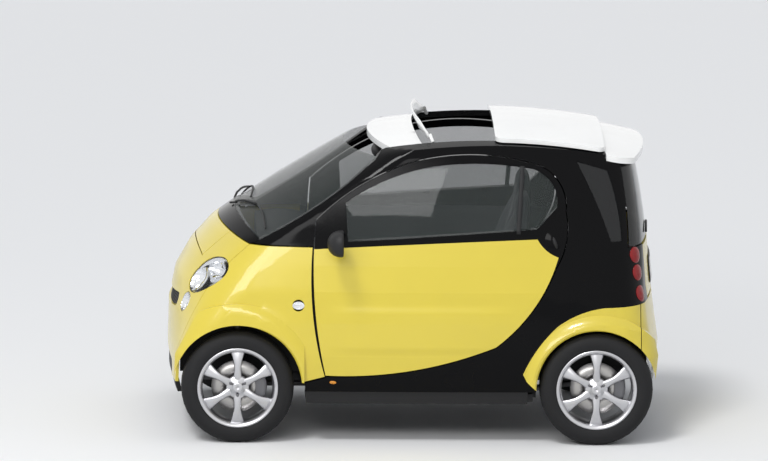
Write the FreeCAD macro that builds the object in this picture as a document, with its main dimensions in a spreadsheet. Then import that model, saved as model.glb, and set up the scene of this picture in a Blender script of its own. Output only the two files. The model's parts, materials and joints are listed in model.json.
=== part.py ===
"""Two-seat microcar: black safety cell, yellow panels, four wheels, two doors."""
import FreeCAD
import Part
import math
import os
from FreeCAD import Vector

doc = FreeCAD.newDocument("microcar")

# Sizes in millimetres and degrees. Each is written once here and read from the sheet.
SIZES = [
    ("wheelbase", 1812, "front axle to rear axle"),
    ("front_overhang", 345, "nose to front axle"),
    ("rear_overhang", 343, "rear axle to tail"),
    ("body_width", 1515, "over the rear wheel arches"),
    ("roof_height", 1549, "ground to the crown of the roof"),
    ("belt_height", 1000, "ground to the foot of the side windows"),
    ("floor_height", 205, "ground to the underside of the floor"),
    ("floor_depth", 40, "floor sandwich"),
    ("luggage_height", 630, "top of the raised rear floor"),
    ("front_track", 1272, "between the front tyre centres"),
    ("rear_track", 1316, "between the rear tyre centres"),
    ("front_tyre_radius", 284.75, "145/65 R15"),
    ("front_tyre_width", 145, "section width"),
    ("rear_tyre_radius", 286.75, "175/55 R15"),
    ("rear_tyre_width", 175, "section width"),
    ("rim_flange_radius", 205, "over the rim flange"),
    ("rim_seat_radius", 190.5, "15 inch bead seat"),
    ("rim_wall", 9, "rim barrel"),
    ("spoke_count", 6, "spokes of a wheel"),
    ("spoke_width", 52, "spoke at the hub"),
    ("hub_radius", 62, "wheel centre"),
    ("stub_radius", 20, "stub axle"),
    ("stub_clearance", 0.05, "between stub axle and wheel bore"),
    ("disc_radius", 140, "brake disc"),
    ("disc_width", 12, "brake disc"),
    ("front_arch_radius", 325, "opening round a front wheel"),
    ("rear_arch_radius", 305, "opening round a rear wheel"),
    ("front_arch_inner", 606, "centre plane to the inner edge of the front arch cut"),
    ("flare_depth", 105, "front arch lip, measured along the radius"),
    ("rear_flare_depth", 80, "rear arch lip, measured along the radius"),
    ("front_flare_stand", 22, "front arch lip beyond the body surface"),
    ("rear_flare_stand", 36, "rear arch lip beyond the body surface"),
    ("kingpin_offset", 583, "centre plane to the kingpin at hub height"),
    ("kingpin_lean", 11.3, "degrees, top towards the car"),
    ("steer_angle", 32, "degrees each way"),
    ("door_gap", 6, "between a door and the cell"),
    ("seam", 4, "between fixed panels"),
    ("bond", 0.6, "adhesive line round the windscreen, cowl and roof header"),
    ("skin", 16, "plastic outer panel"),
    ("wall_low", 70, "door and side wall below the belt"),
    ("wall_high", 44, "pillars and roof frame"),
    ("glass_inset", 4, "glass set back from the outer surface"),
    ("glass_thickness", 5, "side and rear glass"),
    ("liner_wall", 8, "wheel arch liner"),
    ("front_liner_inner", 400, "centre plane to the front liner wall"),
    ("rear_liner_inner", 530, "centre plane to the rear liner wall"),
    ("roof_plate", 30, "roof frame and fixed roof"),
    ("roof_panel_thickness", 22, "sliding roof panel"),
    ("roof_panel_lift", 6, "panel above the fixed roof"),
    ("roof_side", 455, "centre plane to the roof rails"),
    ("roof_profile_radius", 3500, "roof seen from the side"),
    ("roof_cross_radius", 3000, "roof seen from the front"),
    ("engine_length", 245, "engine block along the car"),
    ("engine_width", 600, "engine block across the car"),
    ("engine_height", 310, "engine block"),
    ("axle_tube_radius", 24, "rear axle tube"),
    ("seat_width", 470, "each seat"),
    ("seat_spacing", 620, "between the seat centres"),
    ("steering_wheel_radius", 185, "centre of the rim tube"),
    ("steering_tube", 15, "radius of the rim tube"),
    ("lamp_radius", 40, "each round tail lamp"),
    ("mirror_setback", 500, "front axle back to the middle of a mirror"),
    ("mirror_rise", 45, "middle of a mirror above the belt"),
    ("mirror_reach", 42.5, "middle of a mirror beyond the body side"),
    ("mirror_half", 88, "half the width of a mirror pod"),
    ("mirror_dome", 105, "radius of the pod's front"),
    ("mirror_round", 66, "radius of the pod seen from the side"),
    ("mirror_arm_radius", 16, "arm of a mirror"),
    ("fender_inset", 182.5, "body side in to the seam of the front fender"),
    ("headlamp_inset", 257.5, "body side in to the middle of a headlamp"),
    ("headlamp_lead", 155, "middle of a headlamp ahead of the front axle"),
    ("headlamp_drop", 170, "middle of a headlamp below the belt"),
    ("headlamp_radius", 94, "short half axis of a headlamp"),
    ("headlamp_stretch", 1.6, "long half axis over short half axis"),
    ("fog_radius", 50, "round lamps at the ends of the upper grille"),
    ("fog_drop", 322, "middle of those lamps below the belt"),
    ("marker_radius", 30, "side marker lamp"),
    ("bonnet_half", 420, "half the width of the bonnet cover"),
    ("grille_depth", 14, "grille plate"),
    ("grille_gap", 0.3, "grille plate behind the front skin"),
    ("windscreen_thickness", 11, "windscreen with its bonded frame"),
    ("tailgate_half", 464, "half the width of the tailgate"),
    ("tailgate_depth", 34, "tailgate panel"),
    ("deflector_height", 76, "roof deflector from foot to edge"),
    ("floor_inset", 120.5, "body side in to the edge of the floor pan"),
    ("footwell_half", 392, "half the width between the front wheel arches"),
    ("tunnel_half", 70, "half the width of the centre tunnel"),
    ("tunnel_height", 90, "centre tunnel above the floor"),
    ("wall_plate", 20, "rear wall and luggage floor"),
    ("dash_half", 560, "half the width of the dashboard"),
    ("column_radius", 24, "steering column"),
    ("boss_radius", 48, "steering wheel centre and dashboard pods"),
    ("wheel_spoke_radius", 13, "spokes of the steering wheel"),
    ("upright_radius", 26, "steering knuckle"),
    ("arm_radius", 14, "lower arms"),
    ("strut_radius", 16, "front damper rod"),
    ("spring_radius", 44, "front spring plate"),
    ("spring_room", 0.8, "liner hole round the front spring plate"),
    ("rear_spring_radius", 42, "rear coil spring"),
    ("trailing_radius", 16, "rear trailing arm"),
    ("rack_radius", 17, "steering rack"),
]

sheet = doc.addObject("Spreadsheet::Sheet", "sizes")
for number, (name, value, note) in enumerate(SIZES, start=1):
    sheet.set(f"A{number}", name)
    sheet.set(f"B{number}", str(value))
    sheet.set(f"C{number}", note)
    sheet.setAlias(f"B{number}", name)
doc.recompute()


class Sizes:
    """The sheet's values by name."""


d = Sizes()
for name, value, note in SIZES:
    setattr(d, name, float(sheet.get(name)))

# Places that follow from the sizes.
NOSE = (d.front_overhang + d.wheelbase + d.rear_overhang) / 2
TAIL = -NOSE
FRONT_AXLE = NOSE - d.front_overhang
REAR_AXLE = TAIL + d.rear_overhang
HALF = d.body_width / 2
BELT = d.belt_height
ROOF = d.roof_height
FLOOR = d.floor_height
CROWN_X = FRONT_AXLE - 1255
WIDEST_X = FRONT_AXLE - 1055
FAR = 2000

# The body surface as level slices. Setbacks are measured from the nose, the tail and
# the widest side; the height is measured from the belt.
HULL_COLUMNS = ("height", "nose", "tail", "tuck", "front_arc", "front_corner",
                "rear_arc", "rear_corner", "side_arc")
HULL = [
    (BELT - 850, 40, 50, 62, 6000, 110, 3500, 130, 24000),
    (BELT - 700, 0, 12, 34, 6000, 100, 3500, 130, 24000),
    (BELT - 550, 0, 0, 24, 5000, 110, 3500, 130, 24000),
    (BELT - 380, 4, 24, 26, 1700, 170, 3000, 150, 20000),
    (BELT - 220, 36, 45, 34, 1150, 260, 2600, 215, 14000),
    (BELT - 90, 108, 56, 52, 980, 280, 2600, 225, 9000),
    (BELT + 20, 205, 66, 72, 900, 265, 2600, 215, 7000),
    (BELT + 110, 330, 78, 92, 850, 255, 2600, 210, 6500),
    (BELT + 225, 505, 97, 120, 810, 240, 2600, 205, 6000),
    (BELT + 340, 690, 120, 154, 780, 220, 2600, 200, 6000),
    (BELT + 450, 880, 146, 195, 760, 200, 2600, 185, 6000),
    (BELT + 560, 1120, 182, 252, 740, 180, 2600, 165, 6000),
]


def level(row):
    """One row of the table as named values."""
    return dict(zip(HULL_COLUMNS, row))


def meet(first, first_radius, second, second_radius, sign):
    """Crossing of two circles that lies furthest along sign x."""
    span = math.hypot(second[0] - first[0], second[1] - first[1])
    along = (first_radius ** 2 - second_radius ** 2 + span ** 2) / (2 * span)
    off = math.sqrt(first_radius ** 2 - along ** 2)
    ux = (second[0] - first[0]) / span
    uy = (second[1] - first[1]) / span
    base = (first[0] + along * ux, first[1] + along * uy)
    crossings = [(base[0] + off * uy, base[1] - off * ux),
                 (base[0] - off * uy, base[1] + off * ux)]
    return max(crossings, key=lambda point: sign * point[0])


def toward(start, end, distance):
    """The point at a distance from start in the direction of end."""
    span = math.hypot(end[0] - start[0], end[1] - start[1])
    return (start[0] + (end[0] - start[0]) * distance / span,
            start[1] + (end[1] - start[1]) * distance / span)


def side_y(lv, inset, x):
    """Distance of the side surface from the centre plane at x."""
    radius = lv["side_arc"] - inset
    centre = HALF - lv["tuck"] - lv["side_arc"]
    return centre + math.sqrt(radius ** 2 - (x - WIDEST_X) ** 2)


def corner(lv, inset, end):
    """Tangent points of a corner: on the end arc, halfway, on the side arc, and the end."""
    if end == "front":
        sign = 1
        tip = NOSE - lv["nose"] - inset
        end_radius = lv["front_arc"] - inset
        radius = lv["front_corner"] - inset
    else:
        sign = -1
        tip = TAIL + lv["tail"] + inset
        end_radius = lv["rear_arc"] - inset
        radius = lv["rear_corner"] - inset
    side_radius = lv["side_arc"] - inset
    end_centre = (tip - sign * end_radius, 0.0)
    side_centre = (WIDEST_X, HALF - lv["tuck"] - lv["side_arc"])
    centre = meet(end_centre, end_radius - radius, side_centre, side_radius - radius, sign)
    on_end = toward(end_centre, centre, end_radius)
    on_side = toward(side_centre, centre, side_radius)
    middle = ((on_end[0] + on_side[0]) / 2, (on_end[1] + on_side[1]) / 2)
    return on_end, toward(centre, middle, radius), on_side, (tip, 0.0)


def arc(points, z, flip=False):
    """Arc through three plan points at height z."""
    corners = [Vector(x, y, z) for x, y in points]
    if flip:
        corners.reverse()
    return Part.Arc(*corners).toShape()


def line(start, end):
    """Straight edge."""
    return Part.LineSegment(start, end).toShape()


def mirrored(point):
    """A plan point on the other side of the centre plane."""
    return (point[0], -point[1])


def cap_edges(lv, inset, cut, end):
    """Edges round one end of the body at a level, from the left cut to the right one."""
    z = lv["height"]
    on_end, middle, on_side, tip = corner(lv, inset, end)
    start = (cut, side_y(lv, inset, cut))
    halfway = (cut + on_side[0]) / 2
    between = (halfway, side_y(lv, inset, halfway))
    return [
        arc((start, between, on_side), z),
        arc((on_side, middle, on_end), z),
        arc((on_end, tip, mirrored(on_end)), z),
        arc((mirrored(on_end), mirrored(middle), mirrored(on_side)), z),
        arc((mirrored(on_side), mirrored(between), mirrored(start)), z),
    ]


def rows_between(low, high):
    """Table rows that cover a height range."""
    rows = [level(row) for row in HULL]
    first = max(i for i, lv in enumerate(rows) if lv["height"] <= low or i == 0)
    last = min(i for i, lv in enumerate(rows) if lv["height"] >= high or i == len(rows) - 1)
    return rows[first:last + 1]


def inset_at(lv, depths):
    """Inset at a level: one number, or a pair for below and above the belt."""
    if isinstance(depths, tuple):
        return depths[0] if lv["height"] <= BELT + 30 else depths[1]
    return depths


def cap(end, low, high, outer, inner, cut):
    """Slab between two insets round the front or the rear of the body."""
    wires = []
    for lv in rows_between(low, high):
        z = lv["height"]
        out = inset_at(lv, outer)
        deep = inset_at(lv, inner)
        outside = cap_edges(lv, out, cut, end)
        inside = cap_edges(lv, deep, cut, end)
        first = Vector(cut, side_y(lv, out, cut), z)
        second = Vector(cut, side_y(lv, deep, cut), z)
        third = Vector(cut, -side_y(lv, deep, cut), z)
        fourth = Vector(cut, -side_y(lv, out, cut), z)
        wires.append(Part.Wire(outside + [line(fourth, third)] + inside[::-1] + [line(second, first)]))
    return Part.makeLoft(wires, True, True)


def strip(low, high, outer, inner, front, rear):
    """Slab between two insets along the left side of the body."""
    wires = []
    for lv in rows_between(low, high):
        z = lv["height"]
        out = inset_at(lv, outer)
        deep = inset_at(lv, inner)
        middle = (front + rear) / 2
        outside = [(x, side_y(lv, out, x)) for x in (front, middle, rear)]
        inside = [(x, side_y(lv, deep, x)) for x in (rear, middle, front)]
        wires.append(Part.Wire([
            arc(outside, z),
            line(Vector(*outside[2], z), Vector(*inside[0], z)),
            arc(inside, z),
            line(Vector(*inside[2], z), Vector(*outside[0], z)),
        ]))
    return Part.makeLoft(wires, True, True)


def crown_slab(top, bottom):
    """Curved roof plate between two depths below the roof surface."""
    half = 640
    pivot = Vector(CROWN_X, 0, ROOF - d.roof_profile_radius)
    drop = d.roof_cross_radius - math.sqrt(d.roof_cross_radius ** 2 - half ** 2)
    points = []
    for depth in (top, bottom):
        points.append([Vector(CROWN_X, y, ROOF - depth - (drop if y else 0))
                       for y in (half, 0, -half)])
    upper, lower = points
    edges = [
        Part.Arc(*upper).toShape(),
        line(upper[2], lower[2]),
        Part.Arc(*lower[::-1]).toShape(),
        line(lower[0], upper[0]),
    ]
    face = Part.Face(Part.Wire(edges))
    face.rotate(pivot, Vector(0, 1, 0), -25)
    return face.revolve(pivot, Vector(0, 1, 0), 50)


def outline(table, place):
    """Closed wire. Each row is a corner and the point halfway to the next one, or None."""
    edges = []
    for number, (start, middle) in enumerate(table):
        end = table[(number + 1) % len(table)][0]
        if middle is None:
            edges.append(line(place(start), place(end)))
        else:
            edges.append(Part.Arc(place(start), place(middle), place(end)).toShape())
    return Part.Wire(edges)


def side_prism(table, low=0, high=FAR, grow=0):
    """Outline drawn from the side and pushed across the car from y low to y high."""
    wire = outline(table, lambda point: Vector(point[0], low, point[1]))
    if grow:
        wire = wire.makeOffset2D(grow)
    return Part.Face(wire).extrude(Vector(0, high - low, 0))


def plan_prism(table, low=0, high=FAR):
    """Outline drawn from above and pushed up from z low to z high."""
    wire = outline(table, lambda point: Vector(point[0], point[1], low))
    return Part.Face(wire).extrude(Vector(0, 0, high - low))


def front_prism(table, low, high):
    """Outline drawn from the front (y, z) and pushed from x low to x high."""
    wire = outline(table, lambda point: Vector(low, point[0], point[1]))
    return Part.Face(wire).extrude(Vector(high - low, 0, 0))


def block(x0, x1, y0, y1, z0, z1):
    """Box between two corners."""
    return Part.makeBox(x1 - x0, y1 - y0, z1 - z0, Vector(x0, y0, z0))


def rod(radius, start, end):
    """Round bar between two points."""
    span = end - start
    return Part.makeCylinder(radius, span.Length, start, span)


def across(radius, x, z, low, high):
    """Cylinder across the car."""
    return Part.makeCylinder(radius, high - low, Vector(x, low, z), Vector(0, 1, 0))


def opposite(shape):
    """The same piece on the other side of the car."""
    return shape.mirror(Vector(0, 0, 0), Vector(0, 1, 0))


def both(shape):
    """A piece and its mirror image."""
    return Part.makeCompound([shape, opposite(shape)])


def feature(name, shape):
    """Store a shape in the document under a node name."""
    item = doc.addObject("Part::Feature", name)
    item.Shape = shape
    item.Label = name
    nodes.append(item)
    return item


nodes = []

# Outlines seen from the side, x from the car's middle and z from the ground, taken
# from the front axle and the belt so that they move with them.
def seen(x, z):
    """A side-view point given at the photographed size, tied to axle and belt."""
    return (FRONT_AXLE - 905 + x, BELT - 1000 + z)


DOOR = [
    (seen(467, 348), seen(-112, 405)),
    (seen(-400, 500), seen(-570, 670)),
    (seen(-700, 900), seen(-755, 1050)),
    (seen(-750, 1180), seen(-700, 1345)),
    (seen(-560, 1425), seen(-250, 1462)),
    (seen(50, 1420), seen(300, 1305)),
    (seen(518, 1135), seen(526, 800)),
]
DOOR_SKIN = [
    (seen(467, 348), seen(-112, 405)),
    (seen(-400, 500), seen(-570, 670)),
    (seen(-716, 960), seen(-650, 996)),
    (seen(-606, 1052), seen(-60, 1030)),
    (seen(530, 996), seen(524, 700)),
]
DOOR_WINDOW = [
    (seen(354, 1030), None),
    (seen(366, 1222), seen(190, 1322)),
    (seen(-80, 1402), seen(-300, 1416)),
    (seen(-540, 1395), seen(-650, 1350)),
    (seen(-700, 1200), None),
    (seen(-600, 1095), seen(-120, 1062)),
]


FRONT_ZONE = [
    (seen(467, 348), None),
    (seen(580, 318), None),
    (seen(700, 300), None),
    (seen(1400, 300), None),
    (seen(1400, 1180), None),
    (seen(1010, 1054), None),
    (seen(850, 1000), None),
    (seen(532, 998), seen(532, 700)),
]
COWL_ZONE = [
    (seen(845, 1004), None),
    (seen(797, 1026), None),
    (seen(1500, 1516), None),
    (seen(1500, 1222), None),
]
WINDSCREEN = [
    (seen(797, 1026), seen(560, 1165)),
    (seen(353, 1311), seen(285, 1368)),
    (seen(215, 1424), None),
    (seen(60, 1640), None),
    (seen(1500, 1640), None),
    (seen(1500, 1516), None),
]
GLAZED_FRONT = [
    (seen(851, 996), None),
    (seen(797, 1026), seen(560, 1165)),
    (seen(353, 1311), seen(285, 1368)),
    (seen(215, 1424), None),
    (seen(60, 1640), None),
    (seen(1500, 1640), None),
    (seen(1500, 996), None),
]


def at_rear(x, z):
    """A side-view point of the rear, tied to the rear axle and the belt."""
    return (REAR_AXLE + 907 + x, BELT - 1000 + z)


REAR_ZONE = [
    (at_rear(-534.5, 363), at_rear(-614, 504)),
    (at_rear(-707, 609), at_rear(-820, 672)),
    (at_rear(-948, 703), None),
    (at_rear(-1400, 716), None),
    (at_rear(-1400, 285), None),
    (at_rear(-600, 285), None),
    (at_rear(-553, 328), None),
]
QUARTER = [
    (at_rear(-800, 1424), at_rear(-931, 1150)),
    (at_rear(-975, 1030), None),
    (at_rear(-1032, 1030), at_rear(-1012, 1190)),
    (at_rear(-955, 1380), None),
]
HATCH = [
    (at_rear(-1020, 1392), at_rear(-1050, 1200)),
    (at_rear(-1062, 992), None),
    (at_rear(-1400, 992), None),
    (at_rear(-1400, 1400), None),
]

# Doors, drawn once for the left.
door_front = seen(560, 0)[0]
door_rear = seen(-790, 0)[0]
door_zone = side_prism(DOOR, 300, 900, -d.door_gap)
skin_zone = side_prism(DOOR_SKIN, 300, 900, -d.door_gap)
window = side_prism(DOOR_WINDOW, 300, 900)
skin_slab = strip(330, 1100, 0, d.skin, door_front, door_rear)
door_body = strip(330, 1460, 0, (d.wall_low, d.wall_high), door_front, door_rear).common(door_zone)
door_skin = skin_slab.common(skin_zone)
door_frame = door_body.cut([door_skin, window])
door_glass = strip(1000, 1460, d.glass_inset, d.glass_inset + d.glass_thickness,
                   door_front, door_rear).common(window)
mirror_at = Vector(FRONT_AXLE - d.mirror_setback, HALF + d.mirror_reach, BELT + d.mirror_rise)
mirror_foot = Vector(mirror_at.x, HALF - 97.5, mirror_at.z - 22)
door_side = strip(940, 1110, -0.3, 80, door_front, door_rear)
mirror_arm = rod(d.mirror_arm_radius, mirror_foot, mirror_at + Vector(0, -40, -8)).cut(door_side)
dome = Part.makeSphere(d.mirror_dome, mirror_at - Vector(46, 0, 0))
barrel = across(d.mirror_round, mirror_at.x - 10, mirror_at.z,
                mirror_at.y - d.mirror_half, mirror_at.y + d.mirror_half)
front_half = block(mirror_at.x - 24, mirror_at.x + d.mirror_dome, HALF - 150, HALF + 250,
                   mirror_at.z - d.mirror_dome, mirror_at.z + d.mirror_dome)
door_mirror = dome.common(barrel).common(front_half).fuse(mirror_arm)
for side, turn in (("left", lambda shape: shape), ("right", opposite)):
    feature(f"door_frame_{side}", turn(door_frame))
    feature(f"door_skin_{side}", turn(door_skin))
    feature(f"door_glass_{side}", turn(door_glass))
    feature(f"door_mirror_{side}", turn(door_mirror))

# Front panels.
panel_cut = seen(430, 0)[0]
front_slab = cap("front", 300, 1110, 0, d.skin, panel_cut)
front_zone = side_prism(FRONT_ZONE, -900, 900)
front_skin = front_slab.common(front_zone)
fender_seam = HALF - d.fender_inset
HEADLAMP = (FRONT_AXLE + d.headlamp_lead, HALF - d.headlamp_inset, BELT - d.headlamp_drop)
lamp_aim = Vector(0.80, 0.34, 0.49)
headlamp_round = Part.makeCylinder(d.headlamp_radius, 400, Vector(0, 0, -200))
wide = FreeCAD.Matrix()
wide.scale(d.headlamp_stretch, 1.0, 1.0)
headlamp_oval = headlamp_round.transformGeometry(wide)
lamp_z = lamp_aim.normalize()
lamp_x = Vector(-0.45, 0.52, 0.37)
lamp_x = (lamp_x - lamp_z * lamp_x.dot(lamp_z)).normalize()
lamp_y = lamp_z.cross(lamp_x)
lamp_frame = FreeCAD.Matrix(
    lamp_x.x, lamp_y.x, lamp_z.x, HEADLAMP[0],
    lamp_x.y, lamp_y.y, lamp_z.y, HEADLAMP[1],
    lamp_x.z, lamp_y.z, lamp_z.z, HEADLAMP[2], 0, 0, 0, 1)
headlamp_cut = headlamp_oval.transformGeometry(lamp_frame)
fog_height = BELT - d.fog_drop
fog_cut = rod(d.fog_radius, Vector(NOSE - 250, 425, fog_height), Vector(NOSE + 60, 440, fog_height))
smile = front_prism([((-300, BELT - 370), (0, BELT - 382)), ((300, BELT - 370), (318, BELT - 335)),
                     ((300, BELT - 300), (0, BELT - 312)), ((-300, BELT - 300), (-318, BELT - 335))],
                    NOSE - 200, NOSE + 50)
intake = front_prism([((-420, BELT - 712), None), ((420, BELT - 712), (434, BELT - 665)),
                      ((400, BELT - 622), (0, BELT - 612)), ((-400, BELT - 622), (-434, BELT - 665))],
                     NOSE - 200, NOSE + 50)
arch = across(d.front_arch_radius, FRONT_AXLE, d.front_tyre_radius, d.front_arch_inner, 900)
openings = [headlamp_cut, opposite(headlamp_cut), fog_cut, opposite(fog_cut), smile, intake,
            arch, opposite(arch)]
front_skin = front_skin.cut(openings)
middle = block(panel_cut, NOSE + 50, -fender_seam, fender_seam, 100, 1300)
side_part = block(panel_cut - 50, NOSE + 50, fender_seam + d.seam, 900, 100, 1300)
front_panel = front_skin.common(middle)


def bonnet_zone(gap):
    """Bonnet cover seen from above, larger by a gap."""
    wide_end = d.bonnet_half + gap
    narrow_end = d.bonnet_half - 70 + gap
    ahead = FRONT_AXLE + 175 + gap * 0.75
    return plan_prism([
        ((FRONT_AXLE - 100, -wide_end), None),
        ((ahead, -narrow_end), (FRONT_AXLE + 205 + gap, 0)),
        ((ahead, narrow_end), None),
        ((FRONT_AXLE - 100, wide_end), None),
    ], BELT - 300, FAR)


bonnet = front_panel.common(bonnet_zone(0))
front_panel = front_panel.cut(bonnet_zone(d.seam))


def ring(axle_x, axle_z, profile, low_z, x0, x1):
    """Arch lip turned round a wheel axis from (radius, distance from centre) points."""
    points = [Vector(axle_x, y, axle_z + radius) for radius, y in profile]
    edges = [line(a, b) for a, b in zip(points, points[1:] + points[:1])]
    whole = Part.Face(Part.Wire(edges)).revolve(Vector(axle_x, 0, axle_z), Vector(0, 1, 0), 360)
    return whole.common(block(x0, x1, 500, 900, low_z, 1200))


r = d.front_arch_radius
front_flare = ring(FRONT_AXLE, d.front_tyre_radius,
                   [(r, 650), (r, HALF - 30), (r + 8, HALF - 20), (r + 24, HALF - 16), (r + 60, HALF - 26),
                    (r + d.flare_depth, 702), (r + d.flare_depth, 650)],
                   BELT - 682, seen(570, 0)[0], NOSE - 4)
lip_slab = cap("front", 300, 900, -d.front_flare_stand, 40, panel_cut)
front_flare = front_flare.common(lip_slab)
fender = front_skin.common(side_part).fuse(front_flare)
marker_cut = across(d.marker_radius, seen(602, 0)[0], seen(0, 711)[1], 640, 800)
fender = fender.cut(marker_cut)
feature("front_panel", front_panel)
feature("bonnet", bonnet)
feature("front_fenders", both(fender))
lamp_slab = cap("front", 600, 1110, 2, 60, panel_cut)
fog_room = rod(d.fog_radius + 1, Vector(NOSE - 250, 425, fog_height), Vector(NOSE + 60, 440, fog_height))
headlamp = lamp_slab.common(headlamp_oval.transformGeometry(lamp_frame)).cut(fog_room)
fog = cap("front", 550, 800, -2, 40, panel_cut).common(fog_cut)
marker = strip(600, 800, -4, 20, seen(650, 0)[0], seen(550, 0)[0]).common(marker_cut)
feature("headlamps", both(headlamp))
feature("auxiliary_lamps", Part.makeCompound([fog, opposite(fog), marker, opposite(marker)]))
grille_slab = cap("front", 250, 800, d.skin + d.grille_gap, d.skin + d.grille_depth, panel_cut)
grille = Part.makeCompound([
    grille_slab.common(block(NOSE - 220, NOSE + 50, -335, 335, BELT - 392, BELT - 292)),
    grille_slab.common(block(NOSE - 220, NOSE + 50, -450, 450, BELT - 703, BELT - 604))])
feature("grille", grille)
lip = cap("front", 150, 450, 6, 30, panel_cut).common(
    block(NOSE - 110, NOSE + 50, -470, 470, BELT - 780, BELT - 703 - d.bond))
feature("front_lip", lip)

# Windscreen and cowl.
screen_inset = d.glass_inset * 2
upper_slab = cap("front", 1000, 1560, screen_inset, screen_inset + d.windscreen_thickness, WIDEST_X)
above_roof = crown_slab(-300, 0)
under_header = crown_slab(-300, d.roof_plate + 1)
windscreen = upper_slab.common(side_prism(WINDSCREEN, -900, 900, -d.bond)).cut(under_header)
cowl = cap("front", 1000, 1560, 0, 60, seen(500, 0)[0]).common(
    side_prism(COWL_ZONE, -900, 900, -d.bond))
feature("windscreen", windscreen)
feature("cowl", cowl)

# Roof outlines seen from above.
side = d.roof_side - d.seam
wide_side = 505
header_half = d.roof_side - d.bond
header = plan_prism([
    ((FRONT_AXLE - 765, header_half), (FRONT_AXLE - 662, 0)), ((FRONT_AXLE - 765, -header_half), None),
    ((FRONT_AXLE - 925, -header_half), (FRONT_AXLE - 890, 0)), ((FRONT_AXLE - 925, header_half), None)])
rear_roof_zone = plan_prism(
    [((REAR_AXLE + 440, -side), None), ((REAR_AXLE - 40, -side), None),
     ((REAR_AXLE - 45, -wide_side), (REAR_AXLE - 128, -wide_side + 4)),
     ((REAR_AXLE - 190, -wide_side + 46), (REAR_AXLE - 258, 0)),
     ((REAR_AXLE - 190, wide_side - 46), (REAR_AXLE - 128, wide_side - 4)),
     ((REAR_AXLE - 45, wide_side), None), ((REAR_AXLE - 40, side), None), ((REAR_AXLE + 440, side), None)])
recess_zone = plan_prism(
    [((FRONT_AXLE - 600, d.roof_side), None), ((REAR_AXLE - 36, d.roof_side), None),
     ((REAR_AXLE - 41, wide_side + 60), None), ((REAR_AXLE - 400, wide_side + 60), None),
     ((REAR_AXLE - 400, -wide_side - 60), None), ((REAR_AXLE - 41, -wide_side - 60), None),
     ((REAR_AXLE - 36, -d.roof_side), None), ((FRONT_AXLE - 600, -d.roof_side), None)], 1200)
roof_recess = crown_slab(-5, d.roof_plate + 1).common(recess_zone)

# Safety cell: front and rear halves of the wall ring under the roof surface.
door_hole = side_prism(DOOR, -900, 900)
cell_front = cap("front", 250, 1560, 0, (d.wall_low, d.wall_high), WIDEST_X)
cell_front = cell_front.cut([above_roof, roof_recess,
    door_hole, side_prism(GLAZED_FRONT, -900, 900),
    block(seen(565, 0)[0], NOSE + 50, -900, 900, 100, seen(0, 996)[1]),
    block(panel_cut - 700, NOSE, -900, 900, 100, seen(0, 270)[1]),
    cap("front", 250, 1110, -5, d.skin, panel_cut).common(side_prism(FRONT_ZONE, -900, 900, 8)),
])
hole_half = d.tailgate_half + d.door_gap
tailgate_hole = block(TAIL - 50, TAIL + 400, -hole_half, hole_half, seen(0, 700)[1], BELT)
rear_arch = across(d.rear_arch_radius, REAR_AXLE, d.rear_tyre_radius, -900, 900)
lamp_heights = (BELT - 47, BELT - 135, BELT - 240)
lamp_start = Vector(TAIL + 290, 470, 0)
lamp_cuts = [rod(d.lamp_radius, lamp_start + Vector(0, 0, z), lamp_start + Vector(-400, 300, z))
             for z in lamp_heights]
cell_rear = cap("rear", 250, 1560, 0, (d.wall_low, d.wall_high), WIDEST_X)
rear_zone = side_prism(REAR_ZONE, -900, 900)
outer_rear = cap("rear", 250, 800, -5, d.skin, at_rear(-480, 0)[0])
liner_room = across(d.rear_arch_radius + 2 + d.liner_wall + 0.5, REAR_AXLE, d.rear_tyre_radius,
                    d.rear_liner_inner - 0.5, 610.5)
cell_rear = cell_rear.cut([above_roof, roof_recess, liner_room, opposite(liner_room),
    door_hole, side_prism(QUARTER, -900, 900), side_prism(HATCH, -900, 900), tailgate_hole,
    rear_arch, block(TAIL - 50, WIDEST_X, -900, 900, 100, seen(0, 270)[1]),
    outer_rear.common(rear_zone)] + lamp_cuts + [opposite(cut) for cut in lamp_cuts])
rail = crown_slab(0, d.roof_plate).common(plan_prism([
    ((FRONT_AXLE - 760, d.roof_side), None), ((REAR_AXLE - 34, d.roof_side), None),
    ((REAR_AXLE - 34, 495), (FRONT_AXLE - 1300, 530)), ((FRONT_AXLE - 760, 470), None)]))
cell = cell_front.fuse([cell_rear, rail, opposite(rail)])
feature("safety_cell", cell)

# Rear panels.
rear_skin = cap("rear", 250, 800, 0, d.skin, at_rear(-480, 0)[0]).common(rear_zone).cut(rear_arch)
r = d.rear_arch_radius
rear_profile = [(r, 650), (r, HALF - 10), (r + 8, HALF - 2), (r + 20, HALF), (r + 45, HALF - 12),
                (r + d.rear_flare_depth, 706), (r + d.rear_flare_depth, 650)]
rear_flare = ring(REAR_AXLE, d.rear_tyre_radius, rear_profile, BELT - 715, TAIL + 4, 0)
rear_flare = rear_flare.common(cap("rear", 250, 800, -d.rear_flare_stand, d.skin, at_rear(-480, 0)[0]))
rear_flare = rear_flare.common(rear_zone)
bumper_seam = REAR_AXLE - 225
rear_all = rear_skin.fuse([rear_flare, opposite(rear_flare)])
rear_fender = rear_all.common(block(bumper_seam + d.seam, 0, 300, 900, 200, 900))
rear_bumper = rear_all.common(block(TAIL - 50, bumper_seam, -900, 900, 200, 900))
feature("rear_fenders", both(rear_fender))
feature("rear_bumper", rear_bumper)
tailgate = cap("rear", 620, 1110, 0, d.tailgate_depth, at_rear(-700, 0)[0]).common(
    block(TAIL - 50, TAIL + 400, -d.tailgate_half, d.tailgate_half, seen(0, 722)[1], seen(0, 984)[1]))
feature("tailgate", tailgate)
tail_lamps = [cap("rear", 600, 1110, -3, 40, at_rear(-700, 0)[0]).common(cut) for cut in lamp_cuts]
feature("tail_lamps", Part.makeCompound(tail_lamps + [opposite(lamp) for lamp in tail_lamps]))
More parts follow.
